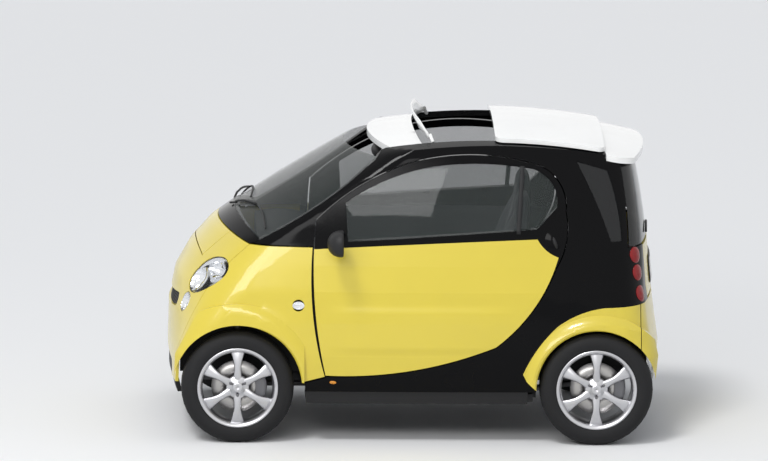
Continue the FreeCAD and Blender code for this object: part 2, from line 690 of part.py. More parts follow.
glass_slab = cap("rear", 900, 1560, d.glass_inset, d.glass_inset + d.glass_thickness, at_rear(-700, 0)[0])
feature("hatch_glass", glass_slab.common(side_prism(HATCH, -900, 900, -d.door_gap)))
quarter = glass_slab.common(side_prism(QUARTER, 200, 900))
feature("quarter_glass", both(quarter))

# Roof.
feature("roof_header", crown_slab(0, d.roof_plate).common(header))
feature("rear_roof", crown_slab(0, d.roof_plate).common(rear_roof_zone))
panel_side = d.roof_side + 45
near_side = panel_side - 12
corner_side = panel_side - 40
panel_front = REAR_AXLE + 517
panel_rear = REAR_AXLE - 38
panel_zone = plan_prism([
    ((panel_front - 40, panel_side), None),
    ((panel_rear + 40, panel_side), (panel_rear + 12, near_side)),
    ((panel_rear, corner_side), None),
    ((panel_rear, -corner_side), (panel_rear + 12, -near_side)),
    ((panel_rear + 40, -panel_side), None),
    ((panel_front - 40, -panel_side), (panel_front - 12, -near_side)),
    ((panel_front, -corner_side), None),
    ((panel_front, corner_side), (panel_front - 12, near_side)),
])
panel_bottom = -d.roof_panel_lift
feature("roof_panel", crown_slab(panel_bottom - d.roof_panel_thickness, panel_bottom).common(panel_zone))
deflector_foot = FRONT_AXLE - 918
deflector_top = ROOF - 10 + d.deflector_height
deflector_profile = [Vector(deflector_foot, 0, ROOF - 10), Vector(deflector_foot + 12, 0, ROOF - 10),
                     Vector(deflector_foot + 38, 0, deflector_top - 4),
                     Vector(deflector_foot + 26, 0, deflector_top)]
deflector = Part.Face(Part.makePolygon(deflector_profile + deflector_profile[:1]))
deflector = deflector.revolve(Vector(FRONT_AXLE - 2500, 0, 0), Vector(0, 0, 1), 15)
deflector = deflector.fuse(opposite(deflector))
arm = block(FRONT_AXLE - 990, FRONT_AXLE - 950, 398, 470, ROOF - 70, ROOF + 10)
arm = arm.cut(crown_slab(-0.3, 200))
deflector = deflector.fuse([arm, opposite(arm)])
feature("wind_deflector", deflector)

# Floor, arch liners, skirts.
floor_top = FLOOR + d.floor_depth
bulkhead_front = seen(545, 0)[0]
bulkhead_rear = at_rear(-610, 0)[0]
floor_half = HALF - d.floor_inset
foot = d.footwell_half
dash_foot = BELT - 312
rear_half = d.rear_liner_inner - 5
tunnel_top = floor_top + d.tunnel_height
floor = block(bulkhead_rear + d.wall_plate, bulkhead_front, -floor_half, floor_half, FLOOR, floor_top)
tunnel = block(bulkhead_rear, bulkhead_front, -d.tunnel_half, d.tunnel_half, floor_top, tunnel_top)
toe_board = block(bulkhead_front + 255, bulkhead_front + 270, -foot, foot, FLOOR + 50, dash_foot)
footwell = block(bulkhead_front, bulkhead_front + 270, -foot, foot, FLOOR + 30, FLOOR + 50)
post_wall = block(bulkhead_front, bulkhead_front + 14, foot, floor_half, FLOOR, dash_foot)
rear_wall = block(bulkhead_rear, bulkhead_rear + d.wall_plate, -rear_half, rear_half, FLOOR,
                  d.luggage_height)
luggage = block(TAIL + 150, bulkhead_rear, -rear_half, rear_half, d.luggage_height - d.wall_plate,
                d.luggage_height)
platform = floor.fuse([tunnel, toe_board, footwell, post_wall, opposite(post_wall), rear_wall, luggage])
feature("platform", platform)


lean_angle = math.radians(d.kingpin_lean)
kingpin = Vector(0, -math.sin(lean_angle), math.cos(lean_angle))
pin = Vector(FRONT_AXLE, d.kingpin_offset, d.front_tyre_radius)


def liner(axle_x, axle_z, radius, inner, outer, x0, x1):
    """Half drum over a wheel with its inner wall."""
    drum = across(radius + d.liner_wall, axle_x, axle_z, inner, outer)
    hollow = across(radius, axle_x, axle_z, inner + d.liner_wall, outer + 10)
    keep = block(x0, x1, inner, outer, axle_z + 28, axle_z + 500)
    return drum.cut(hollow).common(keep)


front_liner = liner(FRONT_AXLE, d.front_tyre_radius, d.front_arch_radius + 4, d.front_liner_inner, 604,
                     FRONT_AXLE - 400, NOSE - 57)
front_liner = front_liner.cut(rod(d.spring_radius + d.spring_room, pin + kingpin * 200, pin + kingpin * 420))
rear_liner = liner(REAR_AXLE, d.rear_tyre_radius, d.rear_arch_radius + 2, d.rear_liner_inner, 610,
                    TAIL + 81, REAR_AXLE + 400)
liners = Part.makeCompound([front_liner, opposite(front_liner), rear_liner, opposite(rear_liner)])
feature("wheel_liners", liners)
skirt = strip(150, 300, 8, 60, seen(570, 0)[0], at_rear(-590, 0)[0]).common(
    block(at_rear(-560, 0)[0], seen(560, 0)[0], floor_half + 1, FAR, FLOOR, BELT - 730))
feature("side_skirts", both(skirt))

# Cabin.
SEAT = [
    ((40, 430), None),
    ((20, 520), (-30, 540)),
    ((-330, 500), (-360, 510)),
    ((-395, 560), None),
    ((-490, 1010), (-480, 1045)),
    ((-485, 1075), None),
    ((-500, 1215), (-530, 1240)),
    ((-565, 1210), None),
    ((-560, 900), None),
    ((-500, 430), (-440, 380)),
    ((-380, 370), None),
    ((0, 370), (30, 390)),
]


def seat(centre, back):
    """One integral seat, drawn from the side and pushed across, with a narrower head and two rails."""
    half = d.seat_width / 2
    shoulder = block(-800, 200, half - 110, half + 10, 1080, 1400)
    rail = block(-420, -20, half - 60, half - 30, floor_top - FLOOR + 205, 380)
    body = side_prism(SEAT, -half, half)
    body = body.cut([shoulder, opposite(shoulder)]).fuse([rail, opposite(rail)])
    body.translate(Vector(FRONT_AXLE - 905 - back, centre, FLOOR - 205))
    return body


feature("seat_left", seat(d.seat_spacing / 2, 0))
feature("seat_right", seat(-d.seat_spacing / 2, 30))
dash = side_prism([(seen(470, 760), seen(440, 850)), (seen(480, 940), seen(620, 975)),
                   (seen(800, 962), None), (seen(800, 700), None), (seen(560, 690), None)],
                  -d.dash_half, d.dash_half)
console = block(seen(300, 0)[0], bulkhead_front + 5, 2 - d.tunnel_half, d.tunnel_half - 2, tunnel_top,
                BELT - 300)
pods = [Part.makeCylinder(d.boss_radius, 60, Vector(seen(520, 0)[0], y, BELT - 50)) for y in (-50, 60)]
feature("dashboard", dash.fuse([console] + pods))
hub = Vector(seen(330, 0)[0], d.seat_spacing / 2, seen(0, 890)[1])
lean = Vector(-0.87, 0, 0.49)
wheel_rim = Part.makeTorus(d.steering_wheel_radius, d.steering_tube, hub, lean)
boss = Part.makeCylinder(d.boss_radius, 40, hub - lean * 25, lean)
column = Part.makeCylinder(d.column_radius, 93, hub - lean * 113, lean)
spokes = [rod(d.wheel_spoke_radius, hub, hub + spoke * d.steering_wheel_radius) for spoke in
          (Vector(0, 1, 0), Vector(0, -1, 0), Vector(-0.49, 0, -0.87))]
feature("steering_wheel", wheel_rim.fuse([boss, column] + spokes))

# Engine block as a parametric box.
engine = doc.addObject("Part::Box", "engine_block")
engine.Label = "engine_block"
engine.setExpression("Length", "sizes.engine_length")
engine.setExpression("Width", "sizes.engine_width")
engine.setExpression("Height", "sizes.engine_height")
engine_rear = bulkhead_rear - d.engine_length
engine.Placement.Base = Vector(engine_rear, -d.engine_width / 2, 250)
nodes.append(engine)

# Running gear.
front_wheel_y = d.front_track / 2
hub_face = 18
upright = rod(d.upright_radius, pin - kingpin * 95, pin + kingpin * 118)
stub = across(d.stub_radius, FRONT_AXLE, d.front_tyre_radius, d.kingpin_offset, front_wheel_y + hub_face)
steer_arm = rod(11, pin - kingpin * 60, pin - kingpin * 60 + Vector(-120, -25, 0))
knuckle = upright.fuse([stub, steer_arm])
feature("knuckle_left", knuckle)
feature("knuckle_right", opposite(knuckle))
damper = rod(d.strut_radius, pin + kingpin * 120, pin + kingpin * 400)
strut = damper.fuse(rod(d.spring_radius, pin + kingpin * 300, pin + kingpin * 390))
ball = pin - kingpin * 118.8
arms = [rod(d.arm_radius, ball, Vector(FRONT_AXLE + lead, 290, FLOOR)) for lead in (60, -90)]
crossmember = block(FRONT_AXLE - 110, FRONT_AXLE + 90, -300, 300, 175, 235)
rack = across(d.rack_radius, FRONT_AXLE - 70, 250, -440, 440)
tower = block(FRONT_AXLE - 60, FRONT_AXLE + 60, 380, 530, 640, 672)
rails = block(bulkhead_front + 271, FRONT_AXLE + 240, 300, 345, FLOOR + 51, FLOOR + 110)
one_side = strut.fuse(arms + [tower, rails])
front_suspension = crossmember.fuse([rack, one_side, opposite(one_side)])
feature("front_suspension", front_suspension)
rear_wheel_y = d.rear_track / 2
tube = across(d.axle_tube_radius, REAR_AXLE, d.rear_tyre_radius, -(rear_wheel_y - 70), rear_wheel_y - 70)
rear_stub = across(d.stub_radius, REAR_AXLE, d.rear_tyre_radius, rear_wheel_y - 72, rear_wheel_y + hub_face)
spring = rod(d.rear_spring_radius, Vector(REAR_AXLE, 430, d.rear_tyre_radius + 20),
             Vector(REAR_AXLE, 430, d.luggage_height - d.wall_plate))
trailing = rod(d.trailing_radius, Vector(REAR_AXLE, 470, d.rear_tyre_radius),
               Vector(bulkhead_rear - 9, 420, FLOOR + 30))
half_axle = rear_stub.fuse([spring, trailing])
feature("rear_axle", tube.fuse([half_axle, opposite(half_axle)]))


def tyre(name, radius, width, x, y):
    """Tyre as a PartDesign revolution about its axle."""
    body = doc.addObject("PartDesign::Body", name)
    body.Label = name
    plane = [o for o in body.Origin.OriginFeatures if o.Role == "YZ_Plane"][0]
    sketch = body.newObject("Sketcher::SketchObject", name + "_profile")
    sketch.AttachmentSupport = [(plane, "")]
    sketch.MapMode = "FlatFace"
    half = width / 2
    bead = d.rim_seat_radius
    right_side = [(half - 40, radius), (half - 22, radius - 5), (half - 5, radius - 24),
                  (half, (bead + radius) / 2), (half - 4, bead + 24), (half - 17.5, bead),
                  (half - 24, bead), (half - 16, radius - 26)]
    left_side = [(-sideways, height) for sideways, height in right_side[::-1]]
    points = right_side + left_side
    for start, end in zip(points, points[1:] + points[:1]):
        sketch.addGeometry(Part.LineSegment(Vector(*start, 0), Vector(*end, 0)), False)
    turned = body.newObject("PartDesign::Revolution", name + "_turned")
    turned.Profile = sketch
    turned.ReferenceAxis = (sketch, ["H_Axis"])
    turned.Angle = 360
    sketch.Visibility = False
    body.Placement.Base = Vector(x, y, radius)
    nodes.append(body)


def rim(name, radius, width, x, y, outward):
    """Alloy wheel with spokes and its brake disc, bored for the stub axle."""
    half = width / 2 - 8
    seat_radius = d.rim_seat_radius
    barrel = across(seat_radius - 0.5, 0, 0, -half, half).cut(
        across(seat_radius - d.rim_wall, 0, 0, -half - 1, half + 1))
    flanges = [across(d.rim_flange_radius, 0, 0, low, low + 7).cut(
        across(seat_radius - d.rim_wall, 0, 0, low - 1, low + 8)) for low in (-half - 6, half - 1)]
    face = half - 34
    spoke_list = []
    for number in range(int(d.spoke_count)):
        spoke = block(-d.spoke_width / 2, d.spoke_width / 2, face, face + 24, 20, seat_radius - 4)
        spoke.rotate(Vector(0, 0, 0), Vector(0, 1, 0), number * 360 / d.spoke_count)
        spoke_list.append(spoke)
    centre = across(d.hub_radius, 0, 0, face - 26, face + 28)
    disc = across(d.disc_radius, 0, 0, face - 26 - d.disc_width, face - 26)
    wheel = barrel.fuse(flanges + spoke_list + [centre, disc])
    wheel = wheel.cut(across(d.stub_radius + d.stub_clearance, 0, 0, -half, half - 30))
    if outward < 0:
        wheel = opposite(wheel)
    wheel.translate(Vector(x, y, radius))
    feature(name, wheel)


for corner_name, axle_x, tyre_radius, tyre_width, centre_y in (
        ("fl", FRONT_AXLE, d.front_tyre_radius, d.front_tyre_width, front_wheel_y),
        ("fr", FRONT_AXLE, d.front_tyre_radius, d.front_tyre_width, -front_wheel_y),
        ("rl", REAR_AXLE, d.rear_tyre_radius, d.rear_tyre_width, rear_wheel_y),
        ("rr", REAR_AXLE, d.rear_tyre_radius, d.rear_tyre_width, -rear_wheel_y)):
    tyre(f"tyre_{corner_name}", tyre_radius, tyre_width, axle_x, centre_y)
    rim(f"rim_{corner_name}", tyre_radius, tyre_width, axle_x, centre_y, centre_y)
doc.recompute()

os.makedirs("parts", exist_ok=True)
for item in nodes:
    shape = item.Shape
    bad = [state for state in item.State if state in ("Invalid", "Error")]
    if bad or shape.isNull() or not shape.isValid():
        raise RuntimeError(f"{item.Label} isn't a valid solid: {item.State}")
    shape.exportStep(f"parts/{item.Label}.step")
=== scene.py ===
"""Dressed scene of the two-seat microcar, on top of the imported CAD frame.

Lengths are metres, with x to the front, y to the left side and z up.
"""
import bmesh
import bpy
import json
import math
from mathutils import Matrix, Vector
from mathutils.bvhtree import BVHTree


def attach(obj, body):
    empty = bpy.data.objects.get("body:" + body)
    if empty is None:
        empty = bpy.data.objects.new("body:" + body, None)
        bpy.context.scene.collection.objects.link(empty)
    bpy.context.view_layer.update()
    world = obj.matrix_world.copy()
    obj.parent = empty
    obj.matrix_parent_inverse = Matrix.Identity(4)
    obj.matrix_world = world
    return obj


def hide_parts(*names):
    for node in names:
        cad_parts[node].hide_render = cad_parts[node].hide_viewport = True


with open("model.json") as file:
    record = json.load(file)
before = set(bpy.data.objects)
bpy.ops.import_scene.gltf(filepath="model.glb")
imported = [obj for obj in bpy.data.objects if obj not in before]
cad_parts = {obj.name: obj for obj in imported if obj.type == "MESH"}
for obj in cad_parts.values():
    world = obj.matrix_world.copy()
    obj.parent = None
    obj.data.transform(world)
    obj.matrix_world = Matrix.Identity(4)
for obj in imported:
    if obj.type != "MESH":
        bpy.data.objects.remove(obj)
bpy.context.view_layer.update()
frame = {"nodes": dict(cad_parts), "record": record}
nodes = frame["nodes"]

FRONT_AXLE = 0.905
REAR_AXLE = -0.907
FRONT_RADIUS = 0.28475
REAR_RADIUS = 0.28675
FRONT_WIDTH = 0.145
REAR_WIDTH = 0.175
FRONT_Y = 0.636
REAR_Y = 0.658
RIM_SEAT = 0.1905
FLANGE = 0.205
SIDES = (("left", 1), ("right", -1))


# Materials

def new_material(name):
    """Empty node material with its principled shader."""
    mat = bpy.data.materials.new(name)
    mat.use_nodes = True
    tree = mat.node_tree
    shader = tree.nodes["Principled BSDF"]
    return mat, tree, shader


def set_inputs(node, values):
    """Plain values on a shader node's inputs."""
    for key, value in values.items():
        node.inputs[key].default_value = value


def add_node(tree, kind, values=None):
    """New shader node with its input values."""
    node = tree.nodes.new("ShaderNode" + kind)
    set_inputs(node, values or {})
    return node


BROAD_NOISE = {"Scale": 3.0, "Detail": 3.0}
FINE_DETAIL = 4.0
RAMP_ENDS = (0.35, 0.65)
GRAIN_HEIGHT = 0.001
CLEAR_NOISE = {"Scale": 6.0}
CLEAR_LOW = 0.92
CLEAR_SPREAD = 0.02


def surface(name, colour, roughness, metallic=0.0, coat=0.0, coat_roughness=0.03, specular=0.5,
            grain=60.0, grain_depth=0.05, variation=0.06, rough_spread=0.05, sheen=0.0):
    """Opaque material: slight colour change, uneven gloss and a fine bumped grain."""
    mat, tree, shader = new_material(name)
    link = tree.links.new
    coords = add_node(tree, "TexCoord")
    broad = add_node(tree, "TexNoise", BROAD_NOISE)
    link(coords.outputs["Object"], broad.inputs["Vector"])
    ramp = add_node(tree, "ValToRGB")
    low = [max(0.0, c * (1 - variation)) for c in colour]
    high = [min(1.0, c * (1 + variation)) for c in colour]
    for stop, position, tone in zip(ramp.color_ramp.elements, RAMP_ENDS, (low, high)):
        stop.position = position
        stop.color = (*tone, 1)
    link(broad.outputs["Fac"], ramp.inputs["Fac"])
    link(ramp.outputs["Color"], shader.inputs["Base Color"])
    fine = add_node(tree, "TexNoise", {"Scale": grain, "Detail": FINE_DETAIL})
    link(coords.outputs["Object"], fine.inputs["Vector"])
    spread = add_node(tree, "MapRange", {"To Min": max(0.0, roughness - rough_spread),
                                         "To Max": min(1.0, roughness + rough_spread)})
    link(fine.outputs["Fac"], spread.inputs["Value"])
    link(spread.outputs["Result"], shader.inputs["Roughness"])
    relief = add_node(tree, "Bump", {"Strength": grain_depth, "Distance": GRAIN_HEIGHT})
    link(fine.outputs["Fac"], relief.inputs["Height"])
    link(relief.outputs["Normal"], shader.inputs["Normal"])
    set_inputs(shader, {"Metallic": metallic, "Coat Weight": coat, "Coat Roughness": coat_roughness,
                        "Specular IOR Level": specular, "Sheen Weight": sheen})
    return mat


def clear(name, colour, transmission, roughness, alpha, ior=1.45):
    """See-through material with a faint uneven gloss."""
    mat, tree, shader = new_material(name)
    link = tree.links.new
    coords = add_node(tree, "TexCoord")
    noise = add_node(tree, "TexNoise", CLEAR_NOISE)
    link(coords.outputs["Object"], noise.inputs["Vector"])
    ramp = add_node(tree, "ValToRGB")
    ramp.color_ramp.elements[0].color = (*[c * CLEAR_LOW for c in colour], 1)
    ramp.color_ramp.elements[1].color = (*colour, 1)
    link(noise.outputs["Fac"], ramp.inputs["Fac"])
    link(ramp.outputs["Color"], shader.inputs["Base Color"])
    spread = add_node(tree, "MapRange", {"To Min": roughness, "To Max": roughness + CLEAR_SPREAD})
    link(noise.outputs["Fac"], spread.inputs["Value"])
    link(spread.outputs["Result"], shader.inputs["Roughness"])
    set_inputs(shader, {"Transmission Weight": transmission, "Alpha": alpha, "IOR": ior})
    return mat


YELLOW = surface("panel_yellow", (0.68, 0.545, 0.045), 0.30, coat=0.6, grain=500, grain_depth=0.02,
                 variation=0.015)
BLACK = surface("cell_black", (0.0025, 0.0025, 0.003), 0.10, specular=0.10, grain=500,
                grain_depth=0.01, rough_spread=0.02)
WHITE = surface("roof_white", (0.90, 0.90, 0.885), 0.28, coat=1.0, grain=500, grain_depth=0.02,
                variation=0.02)
TRIM = surface("trim_black", (0.012, 0.012, 0.013), 0.5, specular=0.3, grain=900, grain_depth=0.25)
UNDER = surface("underbody", (0.035, 0.035, 0.037), 0.7, grain=250, grain_depth=0.3)
CLOTH = surface("seat_cloth", (0.055, 0.06, 0.07), 0.95, grain=1400, grain_depth=0.6, sheen=0.3)
RUBBER = surface("tyre", (0.010, 0.010, 0.011), 0.7, specular=0.3, grain=700, grain_depth=0.3)
ALLOY = surface("alloy", (0.56, 0.56, 0.58), 0.30, metallic=1.0, grain=600, grain_depth=0.04)
STEEL = surface("metal", (0.16, 0.16, 0.17), 0.5, metallic=0.8, grain=200, grain_depth=0.2)
DISC = surface("disc_steel", (0.42, 0.41, 0.40), 0.34, metallic=1.0, grain=300, grain_depth=0.1)
CHROME = surface("reflector", (0.85, 0.86, 0.88), 0.10, metallic=1.0, grain=40, grain_depth=0.02)
SEAL = surface("seal", (0.012, 0.012, 0.012), 0.6, grain=500, grain_depth=0.1)
DASH = surface("dash_grey", (0.06, 0.062, 0.068), 0.6, grain=1000, grain_depth=0.3)
PLATE = surface("plate_blank", (0.80, 0.80, 0.78), 0.4, grain=300, grain_depth=0.05)
AMBER = clear("amber_lens", (0.95, 0.36, 0.03), 0.3, 0.12, 1.0)
GLASS = clear("glass", (0.045, 0.055, 0.053), 0.0, 0.02, 0.34)
TINTED = clear("dark_glass", (0.008, 0.009, 0.010), 0.0, 0.03, 0.86)
LENS = clear("lamp_clear", (0.95, 0.96, 0.97), 1.0, 0.02, 1.0, 1.25)
RED = clear("lamp_red", (0.30, 0.004, 0.006), 0.15, 0.10, 1.0)

SLOT_MATERIAL = {
    "cell_black": BLACK, "panel_yellow": YELLOW, "roof_white": WHITE, "glass": GLASS,
    "dark_glass": TINTED, "trim_black": TRIM, "lamp_clear": LENS, "lamp_red": RED,
    "underbody": UNDER, "seat_cloth": CLOTH, "tyre": RUBBER, "alloy": ALLOY, "metal": STEEL,
}
for part in frame["record"]["subparts"]:
    node_mesh = nodes[part["node"]].data
    node_mesh.materials.clear()
    own = DASH if part["node"] == "dashboard" else SLOT_MATERIAL[part["material_slot"]]
    node_mesh.materials.append(own)


# Camera and light

CAMERA_TARGET = Vector((0.150, 0.0, 0.966))
CAMERA_YAW = math.radians(2.0)
CAMERA_LIFT = math.radians(10.5)
CAMERA_ROLL = math.radians(0.6)
CAMERA_DISTANCE = 50.0
CAMERA_LENS = 459.0
SENSOR_WIDTH = 36.0
SIDE_LIGHT_SIZE = (6.0, 2.0)
SIDE_LIGHT_POWER = 215
SUN_POWER = 1.25
SUN_WIDTH = math.radians(14)
SUN_DIRECTION = Vector((-0.30, -0.42, -0.86))
SKY_STRENGTH = 0.62
SKY_COLOURS = ((0.05, (0.30, 0.31, 0.33, 1)), (0.75, (0.92, 0.95, 1.0, 1)))

look = Vector((math.sin(CAMERA_YAW) * math.cos(CAMERA_LIFT),
               math.cos(CAMERA_YAW) * math.cos(CAMERA_LIFT), math.sin(CAMERA_LIFT)))
camera_data = bpy.data.cameras.new("camera")
camera_data.lens = CAMERA_LENS
camera_data.sensor_width = SENSOR_WIDTH
camera = bpy.data.objects.new("camera", camera_data)
bpy.context.scene.collection.objects.link(camera)
camera.location = CAMERA_TARGET + look * CAMERA_DISTANCE
turn = (-look).to_track_quat("-Z", "Y").to_matrix().to_4x4()
roll = Matrix.Rotation(CAMERA_ROLL, 4, "Z")
camera.matrix_world = Matrix.Translation(camera.location) @ turn @ roll
bpy.context.scene.camera = camera


def area_light(name, place, aim, size, power):
    """Soft rectangular light."""
    data = bpy.data.lights.new(name, "AREA")
    data.shape = "RECTANGLE"
    data.size = size[0]
    data.size_y = size[1]
    data.energy = power
    lamp = bpy.data.objects.new(name, data)
    bpy.context.scene.collection.objects.link(lamp)
    lamp.location = place
    lamp.rotation_euler = (Vector(aim) - Vector(place)).to_track_quat("-Z", "Y").to_euler()


area_light("side", (2.5, 7.0, 4.5), (0, 0, 0.7), SIDE_LIGHT_SIZE, SIDE_LIGHT_POWER)

sun_data = bpy.data.lights.new("sun", "SUN")
sun_data.energy = SUN_POWER
sun_data.angle = SUN_WIDTH
sun = bpy.data.objects.new("sun", sun_data)
bpy.context.scene.collection.objects.link(sun)
sun.rotation_euler = SUN_DIRECTION.to_track_quat("-Z", "Y").to_euler()

# The sky lights the part, and camera, glossy and transmission rays see plain white
world = bpy.data.worlds.new("studio")
bpy.context.scene.world = world
world.use_nodes = True
world_tree = world.node_tree
world_tree.nodes.clear()
link = world_tree.links.new
world_out = add_node(world_tree, "OutputWorld")
mix = add_node(world_tree, "MixShader")
soft = add_node(world_tree, "Background")
sky_place = add_node(world_tree, "TexCoord")
split = add_node(world_tree, "SeparateXYZ")
sky = add_node(world_tree, "ValToRGB")
for stop, (position, colour) in zip(sky.color_ramp.elements, SKY_COLOURS):
    stop.position = position
    stop.color = colour
link(sky_place.outputs["Generated"], split.inputs["Vector"])
link(split.outputs["Z"], sky.inputs["Fac"])
link(sky.outputs["Color"], soft.inputs["Color"])
soft.inputs["Strength"].default_value = SKY_STRENGTH
plain = add_node(world_tree, "Background")
plain.inputs["Color"].default_value = (1, 1, 1, 1)
ray_path = add_node(world_tree, "LightPath")
seen_white = ray_path.outputs["Is Camera Ray"]
for ray in ("Is Glossy Ray", "Is Transmission Ray"):
    either = add_node(world_tree, "Math")
    either.operation = "MAXIMUM"
    link(seen_white, either.inputs[0])
    link(ray_path.outputs[ray], either.inputs[1])
    seen_white = either.outputs["Value"]
link(seen_white, mix.inputs["Fac"])
link(soft.outputs["Background"], mix.inputs[1])
link(plain.outputs["Background"], mix.inputs[2])
link(mix.outputs["Shader"], world_out.inputs["Surface"])
bpy.context.scene.view_settings.view_transform = "Standard"


# Mesh helpers


def placed(name, data, body):
    """New object for a mesh or a curve, riding on a body."""
    piece = bpy.data.objects.new(name, data)
    bpy.context.scene.collection.objects.link(piece)
    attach(piece, body)
    return piece


def add_mesh(name, verts, faces, material, body, smooth=True):
    """New piece from vertices and faces, riding on a body."""
    mesh = bpy.data.meshes.new(name)
    mesh.from_pydata([tuple(v) for v in verts], [], faces)
    mesh.update()
    mesh.materials.append(material)
    for face in mesh.polygons:
        face.use_smooth = smooth
    return placed(name, mesh, body)


def grid_faces(rows, count, around=False, joined=False):
    """Quads between rows of count points.

    around closes each row, and joined ties the last row to the first.
    """
    faces = []
    for row in range(rows if joined else rows - 1):
        ahead = (row + 1) % rows
        for k in range(count if around else count - 1):
            n = (k + 1) % count
            faces.append((row * count + k, row * count + n, ahead * count + n, ahead * count + k))
    return faces


def disc_faces(rings, around):
    """Fan round vertex 0, then quads between the rings that follow it."""
    faces = [(0, 1 + k, 1 + (k + 1) % around) for k in range(around)]
    for ring in range(rings - 1):
        a = 1 + ring * around
        b = a + around
        for k in range(around):
            n = (k + 1) % around
            faces.append((a + k, b + k, b + n, a + n))
    return faces


def end_caps(rows, count):
    """One face over the first row and one over the last."""
    return [tuple(range(count)), tuple((rows - 1) * count + k for k in range(count))]


def rounded(angle, power):
    """Cosine and sine drawn towards a square, for a power below 1."""
    c = math.cos(angle)
    s = math.sin(angle)
    return math.copysign(abs(c) ** power, c), math.copysign(abs(s) ** power, s)


def tidy_normals(piece):
    """Make all faces point outward."""
    work = bmesh.new()
    work.from_mesh(piece.data)
    bmesh.ops.recalc_face_normals(work, faces=work.faces)
    work.to_mesh(piece.data)
    work.free()


def bevelled(piece, width):
    """Round the edges of a piece."""
    mod = piece.modifiers.new("bevel", "BEVEL")
    mod.width = width
    mod.segments = 2
    mod.limit_method = "ANGLE"
    return piece


def subdivided(piece):
    """Smooth a piece by one subdivision."""
    mod = piece.modifiers.new("smooth", "SUBSURF")
    mod.levels = 1
    mod.render_levels = 1
    return piece


def thickened(piece, thickness, offset):
    """Give a sheet its wall."""
    mod = piece.modifiers.new("thickness", "SOLIDIFY")
    mod.thickness = thickness
    mod.offset = offset
    return piece


def axle_row(profile, centre, angle):
    """Points of a (radius, sideways) profile at one angle round an axle along y."""
    return [(centre[0] + radius * math.sin(angle), centre[1] + y,
             centre[2] + radius * math.cos(angle)) for radius, y in profile]


def lathe(name, profile, centre, segments, material, body, closed=True):
    """Ring round an axle along y."""
    verts = []
    for step in range(segments):
        verts += axle_row(profile, centre, 2 * math.pi * step / segments)
    faces = grid_faces(segments, len(profile), around=closed, joined=True)
    piece = add_mesh(name, verts, faces, material, body)
    tidy_normals(piece)
    return piece


def sector(name, profile, centre, first, last, steps, material, body):
    """Part of a ring round an axle along y, between two angles, with closed ends."""
    verts = []
    for step in range(steps + 1):
        verts += axle_row(profile, centre, math.radians(first + (last - first) * step / steps))
    count = len(profile)
    faces = end_caps(steps + 1, count) + grid_faces(steps + 1, count, around=True)
    piece = add_mesh(name, verts, faces, material, body, smooth=False)
    tidy_normals(piece)
    return bevelled(piece, 0.002)


COIL_STEPS = 20


def coil(name, foot, top, radius, turns, wire, material, body):
    """Coil spring between two points."""
    axis = Vector(top) - Vector(foot)
    across = axis.orthogonal().normalized()
    beside = axis.normalized().cross(across)
    steps = int(turns * COIL_STEPS)
    points = []
    for step in range(steps + 1):
        angle = 2 * math.pi * turns * step / steps
        points.append(Vector(foot) + axis * step / steps
                      + (across * math.cos(angle) + beside * math.sin(angle)) * radius)
    tube(name, points, wire, material, body)


def tube(name, points, radius, material, body, cyclic=False):
    """Round bar along points, as a bevelled curve."""
    data = bpy.data.curves.new(name, "CURVE")
    data.dimensions = "3D"
    data.bevel_depth = radius
    data.bevel_resolution = 3
    spline = data.splines.new("POLY")
    spline.points.add(len(points) - 1)
    for item, point in zip(spline.points, points):
        item.co = (*point, 1)
    spline.use_cyclic_u = cyclic
    data.materials.append(material)
    return placed(name, data, body)


# Wheels

def tyre_profile(radius, width):
    """Section of a tyre with two grooves, as (radius, sideways) points."""
    h = width / 2
    side = [(RIM_SEAT + 0.003, -h + 0.014), (RIM_SEAT + 0.022, -h + 0.004),
            ((RIM_SEAT + radius) / 2, -h), (radius - 0.024, -h + 0.005),
            (radius - 0.006, -h + 0.020)]
    tread = [(radius - 0.001, -h + 0.032)]
    for groove in (-0.3, 0.3):
        middle = groove * h
        tread += [(radius, middle - 0.006), (radius - 0.007, middle - 0.004),
                  (radius - 0.007, middle + 0.004), (radius, middle + 0.006)]
    tread.append((radius - 0.001, h - 0.032))
    return side + tread + [(r, -y) for r, y in reversed(side)]


SPOKE_ROWS = 7
SPOKE_SECTION = ((-1.0, -0.016), (-0.78, 0.0), (0.0, 0.004), (0.78, 0.0), (1.0, -0.016))


def spoke_mesh(half, bore, outer, count, face_y, out_sign):
    """Vertices and faces of tapered spokes from the hub to the rim."""
    verts = []
    faces = []
    for number in range(count):
        angle = 2 * math.pi * number / count
        base = len(verts)
        for i in range(SPOKE_ROWS):
            t = i / (SPOKE_ROWS - 1)
            radius = bore + (outer - bore) * t
            width = half * (1.0 - 0.42 * math.sin(math.pi * min(1.0, t * 1.05)) + 0.55 * t * t)
            dish = face_y + 0.012 * math.sin(math.pi * t) - 0.006 * t
            for sideways, lift_y in SPOKE_SECTION:
                x = radius * math.sin(angle) + sideways * width * math.cos(angle)
                z = radius * math.cos(angle) - sideways * width * math.sin(angle)
                verts.append((x, out_sign * (dish + lift_y), z))
        faces += [tuple(base + k for k in face)
                  for face in grid_faces(SPOKE_ROWS, len(SPOKE_SECTION), around=True)]
    return verts, faces


SPOKES = 6
BOLTS = 3
BOLT_CIRCLE = 0.041
CALLIPER_ANGLES = (-118, -62)


